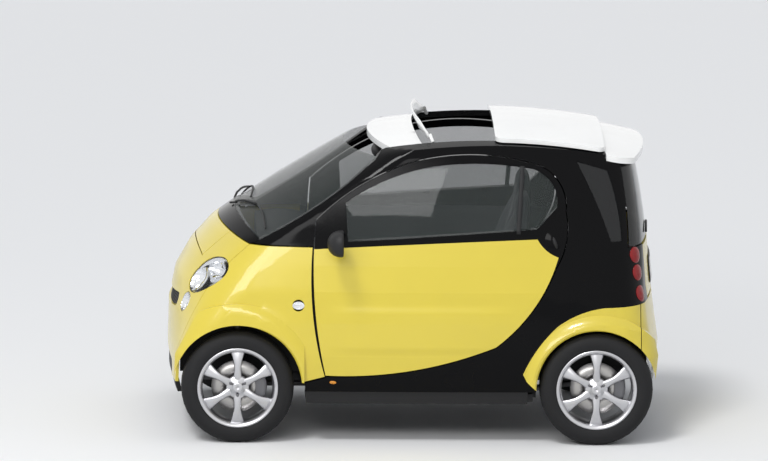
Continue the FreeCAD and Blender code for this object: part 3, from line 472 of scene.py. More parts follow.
def wheel(corner, x, y, radius, width, carrier):
    """Tyre, alloy wheel, bolts and brake of one corner."""
    out_sign = 1 if y > 0 else -1
    body = "wheel_" + corner
    centre = (x, y, radius)

    def outward(profile):
        """Profile turned to the outer side of this wheel."""
        return [(r, out_sign * w) for r, w in profile]

    tyre = lathe("tyre_dressed_" + corner, tyre_profile(radius, width), centre, 40, RUBBER, body)
    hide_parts("tyre_" + corner)
    h = width / 2 - 0.008
    barrel = [(FLANGE, h - 0.001), (FLANGE - 0.002, h + 0.003), (FLANGE - 0.007, h + 0.004),
              (RIM_SEAT - 0.004, h - 0.004), (RIM_SEAT - 0.012, h - 0.022),
              (RIM_SEAT - 0.014, h - 0.05), (RIM_SEAT - 0.010, -h + 0.02),
              (FLANGE - 0.004, -h - 0.004), (FLANGE, -h), (RIM_SEAT, -h + 0.012),
              (RIM_SEAT, h - 0.012)]
    rim = lathe("alloy_barrel_" + corner, outward(barrel), centre, 96, ALLOY, body)
    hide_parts("rim_" + corner)
    face = h - 0.018
    verts, faces = spoke_mesh(0.030, 0.040, RIM_SEAT - 0.006, SPOKES, face, out_sign)
    verts = [(vx + x, vy + y, vz + radius) for vx, vy, vz in verts]
    spokes = add_mesh("alloy_spokes_" + corner, verts, faces, ALLOY, body)
    tidy_normals(spokes)
    subdivided(spokes)
    hub = [(0.0005, face + 0.012), (0.020, face + 0.011), (0.027, face + 0.008),
           (0.029, face + 0.002), (0.052, face + 0.001), (0.060, face - 0.006),
           (0.060, face - 0.030), (0.0005, face - 0.030)]
    lathe("alloy_hub_" + corner, outward(hub), centre, 64, ALLOY, body)
    bolt = [(0.0005, 0.010), (0.006, 0.010), (0.0075, 0.008), (0.008, 0.0), (0.0005, 0.0)]
    for number in range(BOLTS):
        angle = 2 * math.pi * (number + 0.5) / BOLTS
        place = (x + BOLT_CIRCLE * math.sin(angle), y + out_sign * (face + 0.001),
                 radius + BOLT_CIRCLE * math.cos(angle))
        lathe(f"wheel_bolt_{corner}_{number}", outward(bolt), place, 6, STEEL, body)
    disc = [(0.045, face - 0.034), (0.132, face - 0.034), (0.132, face - 0.044),
            (0.045, face - 0.044)]
    lathe("brake_disc_" + corner, outward(disc), centre, 64, DISC, body)
    calliper = [(0.092, face - 0.022), (0.134, face - 0.021), (0.146, face - 0.026),
                (0.150, face - 0.060), (0.140, face - 0.078), (0.088, face - 0.080),
                (0.088, face - 0.048), (0.137, face - 0.047), (0.137, face - 0.031),
                (0.092, face - 0.031)]
    sector("brake_calliper_" + corner, outward(calliper), centre, *CALLIPER_ANGLES, 14, STEEL,
           carrier)
    inward = y + out_sign * (face - 0.072)
    for number, rise in enumerate((-0.035, 0.035)):
        tube(f"brake_bracket_{corner}_{number}",
             [(x - 0.004, y - out_sign * 0.062, radius + rise * 0.6),
              (x - 0.060, inward - out_sign * 0.004, radius + rise),
              (x - 0.100, inward, radius + rise)], 0.010, STEEL, carrier)


for corner, x, y, radius, width, carrier in (
        ("fl", FRONT_AXLE, FRONT_Y, FRONT_RADIUS, FRONT_WIDTH, "knuckle_left"),
        ("fr", FRONT_AXLE, -FRONT_Y, FRONT_RADIUS, FRONT_WIDTH, "knuckle_right"),
        ("rl", REAR_AXLE, REAR_Y, REAR_RADIUS, REAR_WIDTH, "car"),
        ("rr", REAR_AXLE, -REAR_Y, REAR_RADIUS, REAR_WIDTH, "car")):
    wheel(corner, x, y, radius, width, carrier)


# Springs and exhaust

SPRING_RADIUS = 0.046
SPRING_TURNS = 5.5
SPRING_WIRE = 0.006
MUFFLER_AT = (-1.075, -0.02, 0.318)

for side, sign in SIDES:
    coil("rear_spring_" + side, (REAR_AXLE, 0.430 * sign, 0.330), (REAR_AXLE, 0.430 * sign, 0.600),
         SPRING_RADIUS, SPRING_TURNS, SPRING_WIRE, STEEL, "car")
    hose = ((-0.02, 0.56, 0.36), (-0.05, 0.53, 0.40), (-0.06, 0.49, 0.47), (-0.03, 0.46, 0.55))
    tube("brake_hose_" + side, [(FRONT_AXLE + x, y * sign, z) for x, y, z in hose], 0.005, SEAL,
         "car")
muffler = [(0.0005, -0.27), (0.045, -0.265), (0.062, -0.250), (0.070, -0.230), (0.070, -0.205),
           (0.067, -0.200), (0.067, 0.200), (0.070, 0.205), (0.070, 0.230), (0.062, 0.250),
           (0.045, 0.265), (0.0005, 0.27)]
lathe("exhaust_muffler", muffler, MUFFLER_AT, 40, STEEL, "car", closed=False)
tube("exhaust_pipe", [(-0.850, 0.12, 0.290), (-0.872, 0.125, 0.245), (-0.905, 0.13, 0.236),
                      (-0.950, 0.135, 0.238), (-1.000, 0.14, 0.262), (-1.050, 0.14, 0.300)],
     0.021, STEEL, "car")
tube("exhaust_tail", [(-1.09, 0.06, 0.285), (-1.13, 0.06, 0.262), (-1.165, 0.06, 0.255),
                      (-1.20, 0.06, 0.254)], 0.019, CHROME, "car")
for number, y in enumerate((-0.17, 0.13)):
    tube(f"exhaust_strap_{number}", [(-1.075, y, 0.385), (-1.070, y, 0.47), (-1.060, y, 0.610)],
         0.006, STEEL, "car")


# Finding the body surface

def shape_tree(*names):
    """Ray caster over CAD nodes."""
    verts = []
    faces = []
    for name in names:
        base = len(verts)
        mesh = nodes[name].data
        verts += [v.co.copy() for v in mesh.vertices]
        faces += [tuple(base + i for i in face.vertices) for face in mesh.polygons]
    return BVHTree.FromPolygons(verts, faces)


def on_surface(tree, place, direction, reach=0.6):
    """First surface point seen when looking along a direction at a place, or the place."""
    direction = Vector(direction).normalized()
    hit = tree.ray_cast(Vector(place) - direction * reach, direction, reach * 2)
    if hit[0] is None:
        return Vector(place), -direction
    normal = hit[1]
    if normal.dot(direction) > 0:
        normal = -normal
    return hit[0], normal


def patch(name, tree, centre, aim, across_dir, half_a, half_b, lift, material, body,
          rings=8, segments=32):
    """Oval patch laid on the body surface; lift(t) moves it out, t from 0 in the middle to 1."""
    aim = Vector(aim).normalized()
    a_dir = Vector(across_dir)
    a_dir = (a_dir - aim * a_dir.dot(aim)).normalized()
    b_dir = aim.cross(a_dir)
    centre = Vector(centre)
    middle, _ = on_surface(tree, centre, -aim)
    verts = [middle + aim * lift(0.0)]
    for ring in range(1, rings + 1):
        t = ring / rings
        for step in range(segments):
            angle = 2 * math.pi * step / segments
            out_a = a_dir * half_a * t * math.cos(angle)
            out_b = b_dir * half_b * t * math.sin(angle)
            flat = centre + out_a + out_b
            hit, _ = on_surface(tree, flat, -aim)
            if (hit - flat).length < 1e-9:
                hit = flat + aim * (middle - centre).dot(aim)
            verts.append(hit + aim * lift(t))
    piece = add_mesh(name, verts, disc_faces(rings, segments), material, body)
    tidy_normals(piece)
    return piece


def other_side(place, sign):
    """A place or a direction, mirrored to the other side when sign is -1."""
    return (place[0], place[1] * sign, place[2])


# Lamps

front_tree = shape_tree("headlamps", "front_panel", "front_fenders", "bonnet")
fog_tree = shape_tree("auxiliary_lamps")
tail_tree = shape_tree("tail_lamps")
HEAD_AT = (1.06, 0.50, 0.83)
HEAD_AIM = (0.80, 0.34, 0.49)
HEAD_LONG = (-0.45, 0.52, 0.37)
HEAD_CUPS = ((-0.055, 0.062), (0.075, 0.045))
FOG_AT = (1.20, 0.437, 0.678)
FOG_AIM = (1.0, 0.06, 0.0)
MARKER_AT = (0.602, 0.71, 0.711)
TAIL_AT = (-0.96, 0.47)
TAIL_AIM = (-0.8, 0.6, 0.0)
TAIL_HEIGHTS = (0.953, 0.865, 0.760)
TAIL_RADIUS = 0.038
TAIL_CORE = 0.016


def head_lamp(side, sign):
    """Lens, bowl and the two reflector cups with their bulbs."""
    at = other_side(HEAD_AT, sign)
    aim = other_side(HEAD_AIM, sign)
    long_dir = other_side(HEAD_LONG, sign)
    lens = patch("headlamp_lens_" + side, front_tree, at, aim, long_dir, 0.148, 0.092,
                 lambda t: 0.003 - 0.002 * t, LENS, "car", rings=10, segments=48)
    patch("headlamp_bowl_" + side, front_tree, at, aim, long_dir, 0.144, 0.089,
          lambda t: -0.010 - 0.040 * (1 - t ** 3), CHROME, "car", rings=8, segments=48)
    for number, (shift, size) in enumerate(HEAD_CUPS):
        spot = Vector(at) + Vector(long_dir).normalized() * shift
        patch(f"headlamp_cup_{side}_{number}", front_tree, spot, aim, long_dir, size, size,
              lambda t: -0.016 - 0.030 * (1 - t * t), CHROME, "car", rings=6, segments=32)
        patch(f"headlamp_bulb_{side}_{number}", front_tree, spot, aim, long_dir, 0.012, 0.012,
              lambda t: -0.018 - 0.014 * t * t, LENS, "car", rings=4, segments=16)
    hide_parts("headlamps")


def small_lamps(side, sign):
    """Fog lamp and the oval marker on the front fender."""
    fog_at = other_side(FOG_AT, sign)
    fog_aim = other_side(FOG_AIM, sign)
    fog_lens = patch("fog_lens_" + side, fog_tree, fog_at, fog_aim, (0, 1, 0), 0.046, 0.048,
                     lambda t: 0.004 * (1 - t * t), LENS, "car", segments=32)
    patch("fog_bowl_" + side, fog_tree, fog_at, fog_aim, (0, 1, 0), 0.045, 0.047,
          lambda t: -0.004 - 0.026 * (1 - t * t), CHROME, "car", segments=32)
    marker_at = other_side(MARKER_AT, sign)
    patch("side_marker_" + side, fog_tree, marker_at, (0, sign, 0), (1, 0, 0), 0.028, 0.018,
          lambda t: 0.006 * (1 - t * t), LENS, "car", rings=4, segments=24)
    patch("side_marker_base_" + side, fog_tree, marker_at, (0, sign, 0), (1, 0, 0), 0.030, 0.020,
          lambda t: -0.002, CHROME, "car", rings=3, segments=24)
    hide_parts("auxiliary_lamps")


def tail_lamps(side, sign):
    """Three domed red lenses, each with a raised core."""
    for number, height in enumerate(TAIL_HEIGHTS):
        start = Vector((TAIL_AT[0], TAIL_AT[1] * sign, height))
        aim = Vector(other_side(TAIL_AIM, sign))
        patch(f"tail_lens_{side}_{number}", tail_tree, start + aim * 0.2, aim, (0, 0, 1),
              TAIL_RADIUS, TAIL_RADIUS, lambda t: 0.007 * math.sqrt(max(0.0, 1 - t * t)), RED,
              "car", segments=36)
        patch(f"tail_core_{side}_{number}", tail_tree, start + aim * 0.2, aim, (0, 0, 1), TAIL_CORE,
              TAIL_CORE, lambda t: 0.009 - 0.002 * t * t, RED, "car", rings=4, segments=24)


for side, sign in SIDES:
    head_lamp(side, sign)
    small_lamps(side, sign)
    tail_lamps(side, sign)


# Grille bars

grille_tree = shape_tree("grille")
UPPER_BARS = (0.622, 0.636, 0.650, 0.664, 0.678, 0.692)
LOWER_BARS = (0.305, 0.325, 0.345, 0.365)


def bar(name, z, half, count, radius):
    """Horizontal bar in front of the grille plate."""
    points = []
    for step in range(count + 1):
        y = -half + 2 * half * step / count
        hit, _ = on_surface(grille_tree, (1.2, y, z), (-1, 0, 0))
        points.append(hit + Vector((radius * 1.2, 0, 0)))
    tube(name, points, radius, TRIM, "car")


for number, z in enumerate(UPPER_BARS):
    bar(f"upper_grille_bar_{number}", z, 0.30, 18, 0.0028)
for number, z in enumerate(LOWER_BARS):
    bar(f"lower_grille_bar_{number}", z, 0.41, 24, 0.004)


# Wipers

screen_tree = shape_tree("windscreen", "cowl", "safety_cell")
WIPERS = ((-0.42, 0.10, 0.90, 0.865), (0.02, 0.52, 0.93, 0.80))
for number, (pivot_y, tip_y, base_x, tip_x) in enumerate(WIPERS):
    arm_points = []
    for step in range(9):
        t = step / 8
        y = pivot_y + (tip_y - pivot_y) * t * 0.55
        x = base_x - (base_x - tip_x) * t * 0.6 - 0.05 * t
        hit, normal = on_surface(screen_tree, (x, y, 1.15), (0, 0, -1), 0.8)
        arm_points.append(hit + normal * (0.012 + 0.012 * math.sin(math.pi * t)))
    tube(f"wiper_arm_{number}", arm_points, 0.0055, TRIM, "car")
    blade_points = []
    for step in range(15):
        t = step / 14
        y = pivot_y + 0.03 + (tip_y - pivot_y) * t
        x = base_x - 0.035 - (base_x - tip_x) * t - 0.03 * math.sin(math.pi * t)
        hit, normal = on_surface(screen_tree, (x, y, 1.15), (0, 0, -1), 0.8)
        blade_points.append(hit + normal * 0.007)
    tube(f"wiper_blade_{number}", blade_points, 0.005, SEAL, "car")

# Rear wiper

hatch_tree = shape_tree("hatch_glass")
rear_arm = []
for step in range(9):
    t = step / 8
    hit, normal = on_surface(hatch_tree, (-1.2, 0.02 + 0.26 * t, 1.02 + 0.10 * t * (1 - t)),
                             (1, 0, 0))
    rear_arm.append(hit + normal * 0.007)
tube("rear_wiper_arm", rear_arm, 0.006, TRIM, "hatch")


# Rear number plate

tailgate_tree = shape_tree("tailgate")
PLATE_HALF = 0.26
PLATE_LOW = 0.765
PLATE_HIGH = 0.879
PLATE_RIM = 0.012


def plate(name, tree, x, half, low, high, aim_x, body, lift, material):
    """Blank plate with rounded corners, bent to the surface behind it."""
    count_y = 14
    count_z = 4
    verts = []
    for iz in range(count_z + 1):
        for iy in range(count_y + 1):
            y = -half + 2 * half * iy / count_y
            z = low + (high - low) * iz / count_z
            hit, _ = on_surface(tree, (x, y, z), (-aim_x, 0, 0))
            verts.append(Vector((hit.x + aim_x * lift, y, z)))
    piece = add_mesh(name, verts, grid_faces(count_z + 1, count_y + 1), material, body)
    thickened(piece, 0.004, 0)
    return bevelled(piece, 0.0015)


plate("rear_plate_blank", tailgate_tree, -1.2, PLATE_HALF, PLATE_LOW, PLATE_HIGH, -1, "tailgate",
      0.008, PLATE)
plate("rear_plate_frame", tailgate_tree, -1.2, PLATE_HALF + PLATE_RIM, PLATE_LOW - PLATE_RIM,
      PLATE_HIGH + PLATE_RIM, -1, "tailgate", 0.003, TRIM)


# Seats, in rows of x, z, lean in degrees, half width, half depth and bolster height

CUSHION = [
    (0.030, 0.440, 92, 0.205, 0.052, 0.000),
    (0.010, 0.452, 86, 0.222, 0.064, 0.010),
    (-0.060, 0.456, 84, 0.232, 0.070, 0.030),
    (-0.160, 0.452, 84, 0.234, 0.072, 0.040),
    (-0.270, 0.444, 84, 0.232, 0.072, 0.040),
    (-0.370, 0.440, 84, 0.222, 0.070, 0.030),
    (-0.430, 0.440, 86, 0.200, 0.060, 0.010),
]
BACK = [
    (-0.440, 0.470, 12, 0.190, 0.046, 0.006),
    (-0.448, 0.540, 12, 0.216, 0.056, 0.030),
    (-0.462, 0.640, 11, 0.230, 0.058, 0.050),
    (-0.482, 0.760, 10, 0.234, 0.056, 0.055),
    (-0.503, 0.880, 9, 0.230, 0.052, 0.048),
    (-0.519, 0.980, 7, 0.212, 0.046, 0.032),
    (-0.528, 1.050, 6, 0.172, 0.040, 0.014),
    (-0.533, 1.090, 6, 0.134, 0.038, 0.006),
    (-0.537, 1.140, 6, 0.122, 0.038, 0.004),
    (-0.541, 1.190, 6, 0.114, 0.034, 0.002),
    (-0.544, 1.222, 6, 0.092, 0.022, 0.000),
]
SHELL = ((0.00, 0.385), (-0.15, 0.372), (-0.32, 0.372), (-0.44, 0.395), (-0.500, 0.47),
         (-0.525, 0.60), (-0.545, 0.80), (-0.565, 0.96), (-0.572, 1.04))
SHELL_HALF = 0.205
SHELL_TOP_HALF = 0.16
SHELL_COLUMNS = 9
RAIL_HALF = 0.19
PAD_AROUND = 56
PAD_SQUARENESS = 0.62


def smooth_rows(rows, times):
    """Rows with cubic in-between rows, so that a form has no visible steps."""
    out = []
    count = len(rows)
    for i in range(count - 1):
        p0 = rows[max(0, i - 1)]
        p1 = rows[i]
        p2 = rows[i + 1]
        p3 = rows[min(count - 1, i + 2)]
        for k in range(times):
            t = k / times
            out.append(tuple(
                0.5 * ((2 * b) + (c - a) * t + (2 * a - 5 * b + 4 * c - e) * t * t
                       + (3 * b - a - 3 * c + e) * t ** 3)
                for a, b, c, e in zip(p0, p1, p2, p3)))
    out.append(rows[-1])
    return out


def pad(name, rows, centre_y, back, face_sign):
    """Padded form along a run of sections, its sides raised as bolsters, with sewn channels."""
    rows = smooth_rows(rows, 5)
    verts = []
    for number, (x, z, lean, half_width, half_depth, bolster) in enumerate(rows):
        angle = math.radians(lean)
        out_dir = Vector((0, 0, 1))
        if face_sign > 0:
            out_dir = Vector((math.cos(angle), 0, math.sin(angle)))
        along = number / (len(rows) - 1)
        channel = math.sin(math.pi * along * 7) ** 16
        for step in range(PAD_AROUND):
            c, s = rounded(2 * math.pi * step / PAD_AROUND, PAD_SQUARENESS)
            sideways = half_width * c
            depth = half_depth * s
            share = abs(sideways) / half_width
            if s > 0:
                rise = max(0.0, min(1.0, (share - 0.45) / 0.4)) ** 1.5
                depth += bolster * rise * (1 - max(0, share - 0.93) / 0.07)
                depth -= 0.007 * math.exp(-((share - 0.52) / 0.035) ** 2)
                depth -= 0.005 * channel if share < 0.5 else 0.0
            verts.append(Vector((x - back, centre_y + sideways, z)) + out_dir * depth)
    faces = grid_faces(len(rows), PAD_AROUND, around=True)
    for row_number in (0, len(rows) - 1):
        base = row_number * PAD_AROUND
        middle = sum((verts[base + k] for k in range(PAD_AROUND)), Vector()) / PAD_AROUND
        verts.append(middle)
        tip = len(verts) - 1
        for k in range(PAD_AROUND):
            faces.append((base + k, base + (k + 1) % PAD_AROUND, tip))
    piece = add_mesh(name, verts, faces, CLOTH, "car")
    tidy_normals(piece)
    subdivided(piece)
    return piece


def seat_shell(side, centre_y, back):
    """Thin moulded shell behind and below the cushions."""
    verts = []
    for x, z in SHELL:
        half = SHELL_TOP_HALF if (x, z) == SHELL[-1] else SHELL_HALF
        for k in range(SHELL_COLUMNS):
            y = -half + 2 * half * k / (SHELL_COLUMNS - 1)
            verts.append((x - back, centre_y + y, z))
    faces = grid_faces(len(SHELL), SHELL_COLUMNS)
    shell = add_mesh("seat_shell_" + side, verts, faces, TRIM, "car")
    thickened(shell, 0.006, -1)
    subdivided(shell)


def seat_rails(side, centre_y, back):
    """Two rails on the floor, each with two legs up to the shell."""
    for rail_side, word in ((-1, "in"), (1, "out")):
        y = centre_y + rail_side * RAIL_HALF
        tube(f"seat_rail_{side}_{word}",
             [(-0.03 - back, y, 0.250), (-0.05 - back, y, 0.258), (-0.40 - back, y, 0.258),
              (-0.42 - back, y, 0.250)], 0.009, STEEL, "car")
        for leg_x in (-0.08, -0.36):
            tube(f"seat_leg_{side}_{rail_side + 1}_{abs(int(leg_x * 100))}",
                 [(leg_x - back, y, 0.262), (leg_x - back, y * 0.98 + centre_y * 0.02, 0.385)],
                 0.010, STEEL, "car")


for side, centre_y, back in (("left", 0.31, 0.0), ("right", -0.31, 0.030)):
    cushion = pad("seat_cushion_" + side, CUSHION, centre_y, back, -1)
    pad("seat_back_" + side, BACK, centre_y, back, 1)
    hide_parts("seat_" + side)
    seat_shell(side, centre_y, back)
    seat_rails(side, centre_y, back)


# Dashboard details

GAUGE_STEPS = 36
GAUGE_SECTION = [(0.040, 0.0), (0.046, 0.0), (0.048, 0.004), (0.046, 0.008), (0.041, 0.006)]
VENT_RADIUS = 0.034
VENT_STEPS = 24
for number, y in enumerate((-0.05, 0.06)):
    verts = []
    for step in range(GAUGE_STEPS):
        a = 2 * math.pi * step / GAUGE_STEPS
        for radius, out_by in GAUGE_SECTION:
            verts.append(Vector((0.470, y, 0.985))
                         + Vector((-out_by, radius * math.cos(a), radius * math.sin(a))))
    faces = grid_faces(GAUGE_STEPS, len(GAUGE_SECTION), around=True, joined=True)
    gauge_ring = add_mesh(f"gauge_ring_{number}", verts, faces, ALLOY, "car")
    tidy_normals(gauge_ring)
for number, y in enumerate((-0.46, -0.14, 0.14, 0.46)):
    vent = []
    for k in range(VENT_STEPS):
        a = 2 * math.pi * k / VENT_STEPS
        vent.append((0.452, y + VENT_RADIUS * math.cos(a), 0.865 + VENT_RADIUS * math.sin(a)))
    tube(f"air_vent_ring_{number}", vent, 0.004, ALLOY, "car", cyclic=True)
tube("gear_lever", [(0.245, 0.0, 0.430), (0.235, 0.0, 0.50), (0.225, 0.0, 0.56)], 0.008, STEEL,
     "car")


# Door skins with their pressed band

BAND_LOW = 0.485
BAND_HIGH = 0.690
BAND_DEPTH = 0.007


def smoothstep(low, high, value):
    """0 below low, 1 above high, smooth between."""
    t = max(0.0, min(1.0, (value - low) / (high - low)))
    return t * t * (3 - 2 * t)


def cut_across(work, place, normal):
    """Cut a mesh all the way along a plane, and keep both halves."""
    bmesh.ops.bisect_plane(work, geom=work.verts[:] + work.edges[:] + work.faces[:],
                           plane_co=place, plane_no=normal)


def sculpted_skin(side, sign):
    """Copy of a door skin, cut into rows and pushed out along a shallow band."""
    work = bmesh.new()
    work.from_mesh(nodes["door_skin_" + side].data)
    for start in (BAND_LOW, BAND_HIGH):
        for k in range(11):
            cut_across(work, (0, 0, start - 0.03 + k * 0.006), (0, 0, 1))
    for k in range(23):
        cut_across(work, (-0.62 + k * 0.05, 0, 0), (1, 0, 0))
    for vert in work.verts:
        x, y, z = vert.co
        up = smoothstep(BAND_LOW - 0.03, BAND_LOW + 0.02, z)
        down = 1 - smoothstep(BAND_HIGH - 0.02, BAND_HIGH + 0.03, z)
        ends = smoothstep(-0.56, -0.30, x) * (1 - smoothstep(0.30, 0.50, x))
        vert.co.y = y + sign * BAND_DEPTH * up * down * ends
    mesh = bpy.data.meshes.new("door_panel_" + side)
    work.to_mesh(mesh)
    work.free()
    mesh.materials.clear()
    mesh.materials.append(YELLOW)
    piece = placed("door_panel_" + side, mesh, "door_" + side)
    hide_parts("door_skin_" + side)
    smooth_by_angle(piece, SMOOTH_ANGLE_DOOR)


def bump(value):
    """1 at 0, smoothly down to 0 at -1 and 1."""
    return 0.5 + 0.5 * math.cos(math.pi * max(-1.0, min(1.0, value)))


SKIN_GAP = 0.0008


def lining(name, tree, rows, lift, material, body):
    """Skin laid inside a shell: each ray's hit is moved back by lift(u, v).

    The move goes down to nothing at the border.
    """
    last_row = len(rows) - 1
    last = len(rows[0]) - 1
    verts = []
    for j, row in enumerate(rows):
        reach = 0.5
        for i, (place, direction) in enumerate(row):
            away = Vector(direction).normalized()
            hit = tree.ray_cast(Vector(place), away, 1.2)
            if hit[0] is not None:
                reach = hit[3]
            u = i / last
            v = j / last_row
            border = min(1.0, min(u, 1 - u) * last, min(v, 1 - v) * last_row)
            verts.append(Vector(place) + away * (reach - SKIN_GAP - lift(u, v) * border))
    subdivided(add_mesh(name, verts, grid_faces(len(rows), last + 1), material, body))


POD_BACK = -0.0215
POD_FRONT = 0.058
POD_RINGS = [(POD_BACK, 0.84), (-0.0240, 0.90), (-0.0215, 0.97), (-0.0140, 1.0), (0.0, 0.985),
             (0.016, 0.93), (0.030, 0.82), (0.042, 0.66), (0.051, 0.45), (0.056, 0.22)]
POD_AROUND = 48


def mirror_pod(name, centre, half_y, half_z, stretch, body):
    """Rounded pod with a flat back and a domed front, its rim rolled in."""
    verts = []
    for number, (x, scale) in enumerate(POD_RINGS):
        power = 0.66 + 0.30 * number / (len(POD_RINGS) - 1)
        for k in range(POD_AROUND):
            c, s = rounded(2 * math.pi * k / POD_AROUND, power)
            verts.append(Vector(centre)
                         + Vector((x * stretch, half_y * scale * c, half_z * scale * s)))
    faces = grid_faces(len(POD_RINGS), POD_AROUND, around=True)
    verts.append(Vector(centre) + Vector((POD_BACK * stretch, 0, 0)))
    verts.append(Vector(centre) + Vector((POD_FRONT * stretch, 0, 0)))
    back = len(verts) - 2
    front = (len(POD_RINGS) - 1) * POD_AROUND
    for k in range(POD_AROUND):
        n = (k + 1) % POD_AROUND
        faces.append((n, k, back))
        faces.append((front + k, front + n, back + 1))
    piece = add_mesh(name, verts, faces, TRIM, body)
    tidy_normals(piece)
    return piece


def smooth_by_angle(piece, degrees):
    """Shade a mesh smoothly, keeping edges sharper than an angle."""
    limit = math.radians(degrees)
    mesh = piece.data
    for face in mesh.polygons:
        face.use_smooth = True
    work = bmesh.new()
    work.from_mesh(mesh)
    for edge in work.edges:
        edge.smooth = len(edge.link_faces) == 2 and edge.calc_face_angle(0) < limit
    work.to_mesh(mesh)
    work.free()


BODY_OF = {node: body for body, members in frame["record"]["behaviour"]["bodies"].items()
           for node in members}

SMOOTH_ANGLE = 32
SMOOTH_ANGLE_DOOR = 35
ROOF_EDGE = 0.004
WELD = 0.00005


def smoothed(node, edge=0.0):
    """Copy of a CAD panel, welded and shaded smoothly across its curves, its edges rounded when a
    width is given.
    """
    work = bmesh.new()
    work.from_mesh(nodes[node].data)
    bmesh.ops.remove_doubles(work, verts=work.verts[:], dist=WELD)
    mesh = bpy.data.meshes.new(node + "_panel")
    work.to_mesh(mesh)
    work.free()
    if "custom_normal" in mesh.attributes:
        mesh.attributes.remove(mesh.attributes["custom_normal"])
    mesh.materials.clear()
    mesh.materials.append(nodes[node].data.materials[0])
    piece = placed(node + "_panel", mesh, BODY_OF[node])
    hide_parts(node)
    smooth_by_angle(piece, SMOOTH_ANGLE)
    if edge:
        bevelled(piece, edge)


for node in ("front_panel", "front_fenders", "bonnet", "safety_cell", "rear_fenders", "rear_bumper",
             "tailgate", "windscreen", "hatch_glass", "quarter_glass", "cowl", "door_frame_left",
             "door_frame_right", "door_glass_left", "door_glass_right"):
    smoothed(node)
for node in ("roof_panel", "rear_roof", "roof_header"):
    smoothed(node, ROOF_EDGE)


# Wind deflector: a thin blade bent round the front of the roof opening, on two feet

BLADE_SECTION = [(0.005, 0.0), (0.0058, 0.3), (0.0058, 0.7), (0.0045, 0.94), (0.0, 1.0),
                 (-0.0045, 0.94), (-0.0058, 0.7), (-0.0058, 0.3), (-0.005, 0.0), (0.0, -0.03)]
BLADE_STEPS = 48
BLADE_RADIUS = 1.595
BLADE_HALF_ANGLE = 15
verts = []
for step in range(BLADE_STEPS + 1):
    angle = math.radians(-BLADE_HALF_ANGLE + 2 * BLADE_HALF_ANGLE * step / BLADE_STEPS)
    share = abs(2 * step / BLADE_STEPS - 1)
    tall = 1 - 0.45 * smoothstep(0.70, 1.0, share)
    for thick, t in BLADE_SECTION:
        radius = BLADE_RADIUS - 0.007 + 0.026 * t * tall + thick
        y = radius * math.sin(angle)
        verts.append((-BLADE_RADIUS + radius * math.cos(angle), y,
                      1.541 - 0.16 * y * y + 0.072 * t * tall))
count = len(BLADE_SECTION)
faces = grid_faces(BLADE_STEPS + 1, count, around=True) + end_caps(BLADE_STEPS + 1, count)
blade = add_mesh("wind_deflector_blade", verts, faces, WHITE, "car")
tidy_normals(blade)
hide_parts("wind_deflector")
for side, sign in SIDES:
    tube("deflector_foot_" + side, [(-0.064, 0.402 * sign, 1.535), (-0.070, 0.418 * sign, 1.518),
                                    (-0.078, 0.432 * sign, 1.500)], 0.009, WHITE, "car")


# Mirror inside the windscreen, and the tailgate's inner cover

mirror_pod("cabin_mirror", (0.185, 0.0, 1.385), 0.115, 0.034, 0.6, "car")
tube("cabin_mirror_stalk", [(0.195, 0.0, 1.395), (0.200, 0.0, 1.430), (0.200, 0.0, 1.478)], 0.007,
     TRIM, "car")
cover_rows = [[((-0.95, -0.44 + 0.88 * k / 24, z), (-1, 0, 0)) for k in range(25)]
              for z in (0.735 + 0.237 * step / 8 for step in range(9))]
lining("tailgate_cover", tailgate_tree, cover_rows, lambda u, v: 0.005, TRIM, "tailgate")
inner_tree = shape_tree("safety_cell", "tail_lamps")
sill_tree = shape_tree("safety_cell", "side_skirts")


# Doors and the pieces that come once on each side

BAR_LOW = 1.072
BAR_HIGH = 1.404
BAR_STEPS = 16
BAR_HALF = 0.011
BAR_SECTION = ((-BAR_HALF, -0.003), (-BAR_HALF, 0.0025), (-BAR_HALF * 0.6, 0.004),
               (BAR_HALF * 0.6, 0.004), (BAR_HALF, 0.0025), (BAR_HALF, -0.003))


def window_bar(side, sign, tree, body):
    """Divider bar of the door window."""
    verts = []
    for step in range(BAR_STEPS + 1):
        z = BAR_LOW + (BAR_HIGH - BAR_LOW) * step / BAR_STEPS
        x = -0.505 - 0.020 * (z - 1.07) / 0.33
        hit, normal = on_surface(tree, (x, 0.70 * sign, z), (0, -sign, 0), 0.5)
        for dx, out_by in BAR_SECTION:
            verts.append(hit + normal * 0.0015 + Vector((dx, 0, 0)) + normal * out_by)
    count = len(BAR_SECTION)
    faces = grid_faces(BAR_STEPS + 1, count, around=True) + end_caps(BAR_STEPS + 1, count)
    piece = add_mesh("window_bar_" + side, verts, faces, TRIM, body)
    tidy_normals(piece)


def door_handle(side, sign, tree, body):
    """Round panel at the rear corner of the door, with the grip on it."""
    patch("door_handle_" + side, tree, (-0.682, 0.74 * sign, 1.040), (0, sign, 0), (1, 0, 0), 0.046,
          0.058, lambda t: 0.009 * math.cos(t * math.pi / 2) - 0.001, BLACK, body, rings=8,
          segments=40)
    patch("door_handle_grip_" + side, tree, (-0.690, 0.74 * sign, 1.030), (0, sign, 0),
          (0.35, 0, 1), 0.034, 0.011, lambda t: 0.016 * math.sqrt(max(0.0, 1 - t * t)), TRIM, body,
          rings=6, segments=32)


CARD_LOW = 0.43
CARD_HIGH = 0.985
CARD_ROWS = 18
CARD_COLUMNS = 28
CARD_MARGIN = 0.022


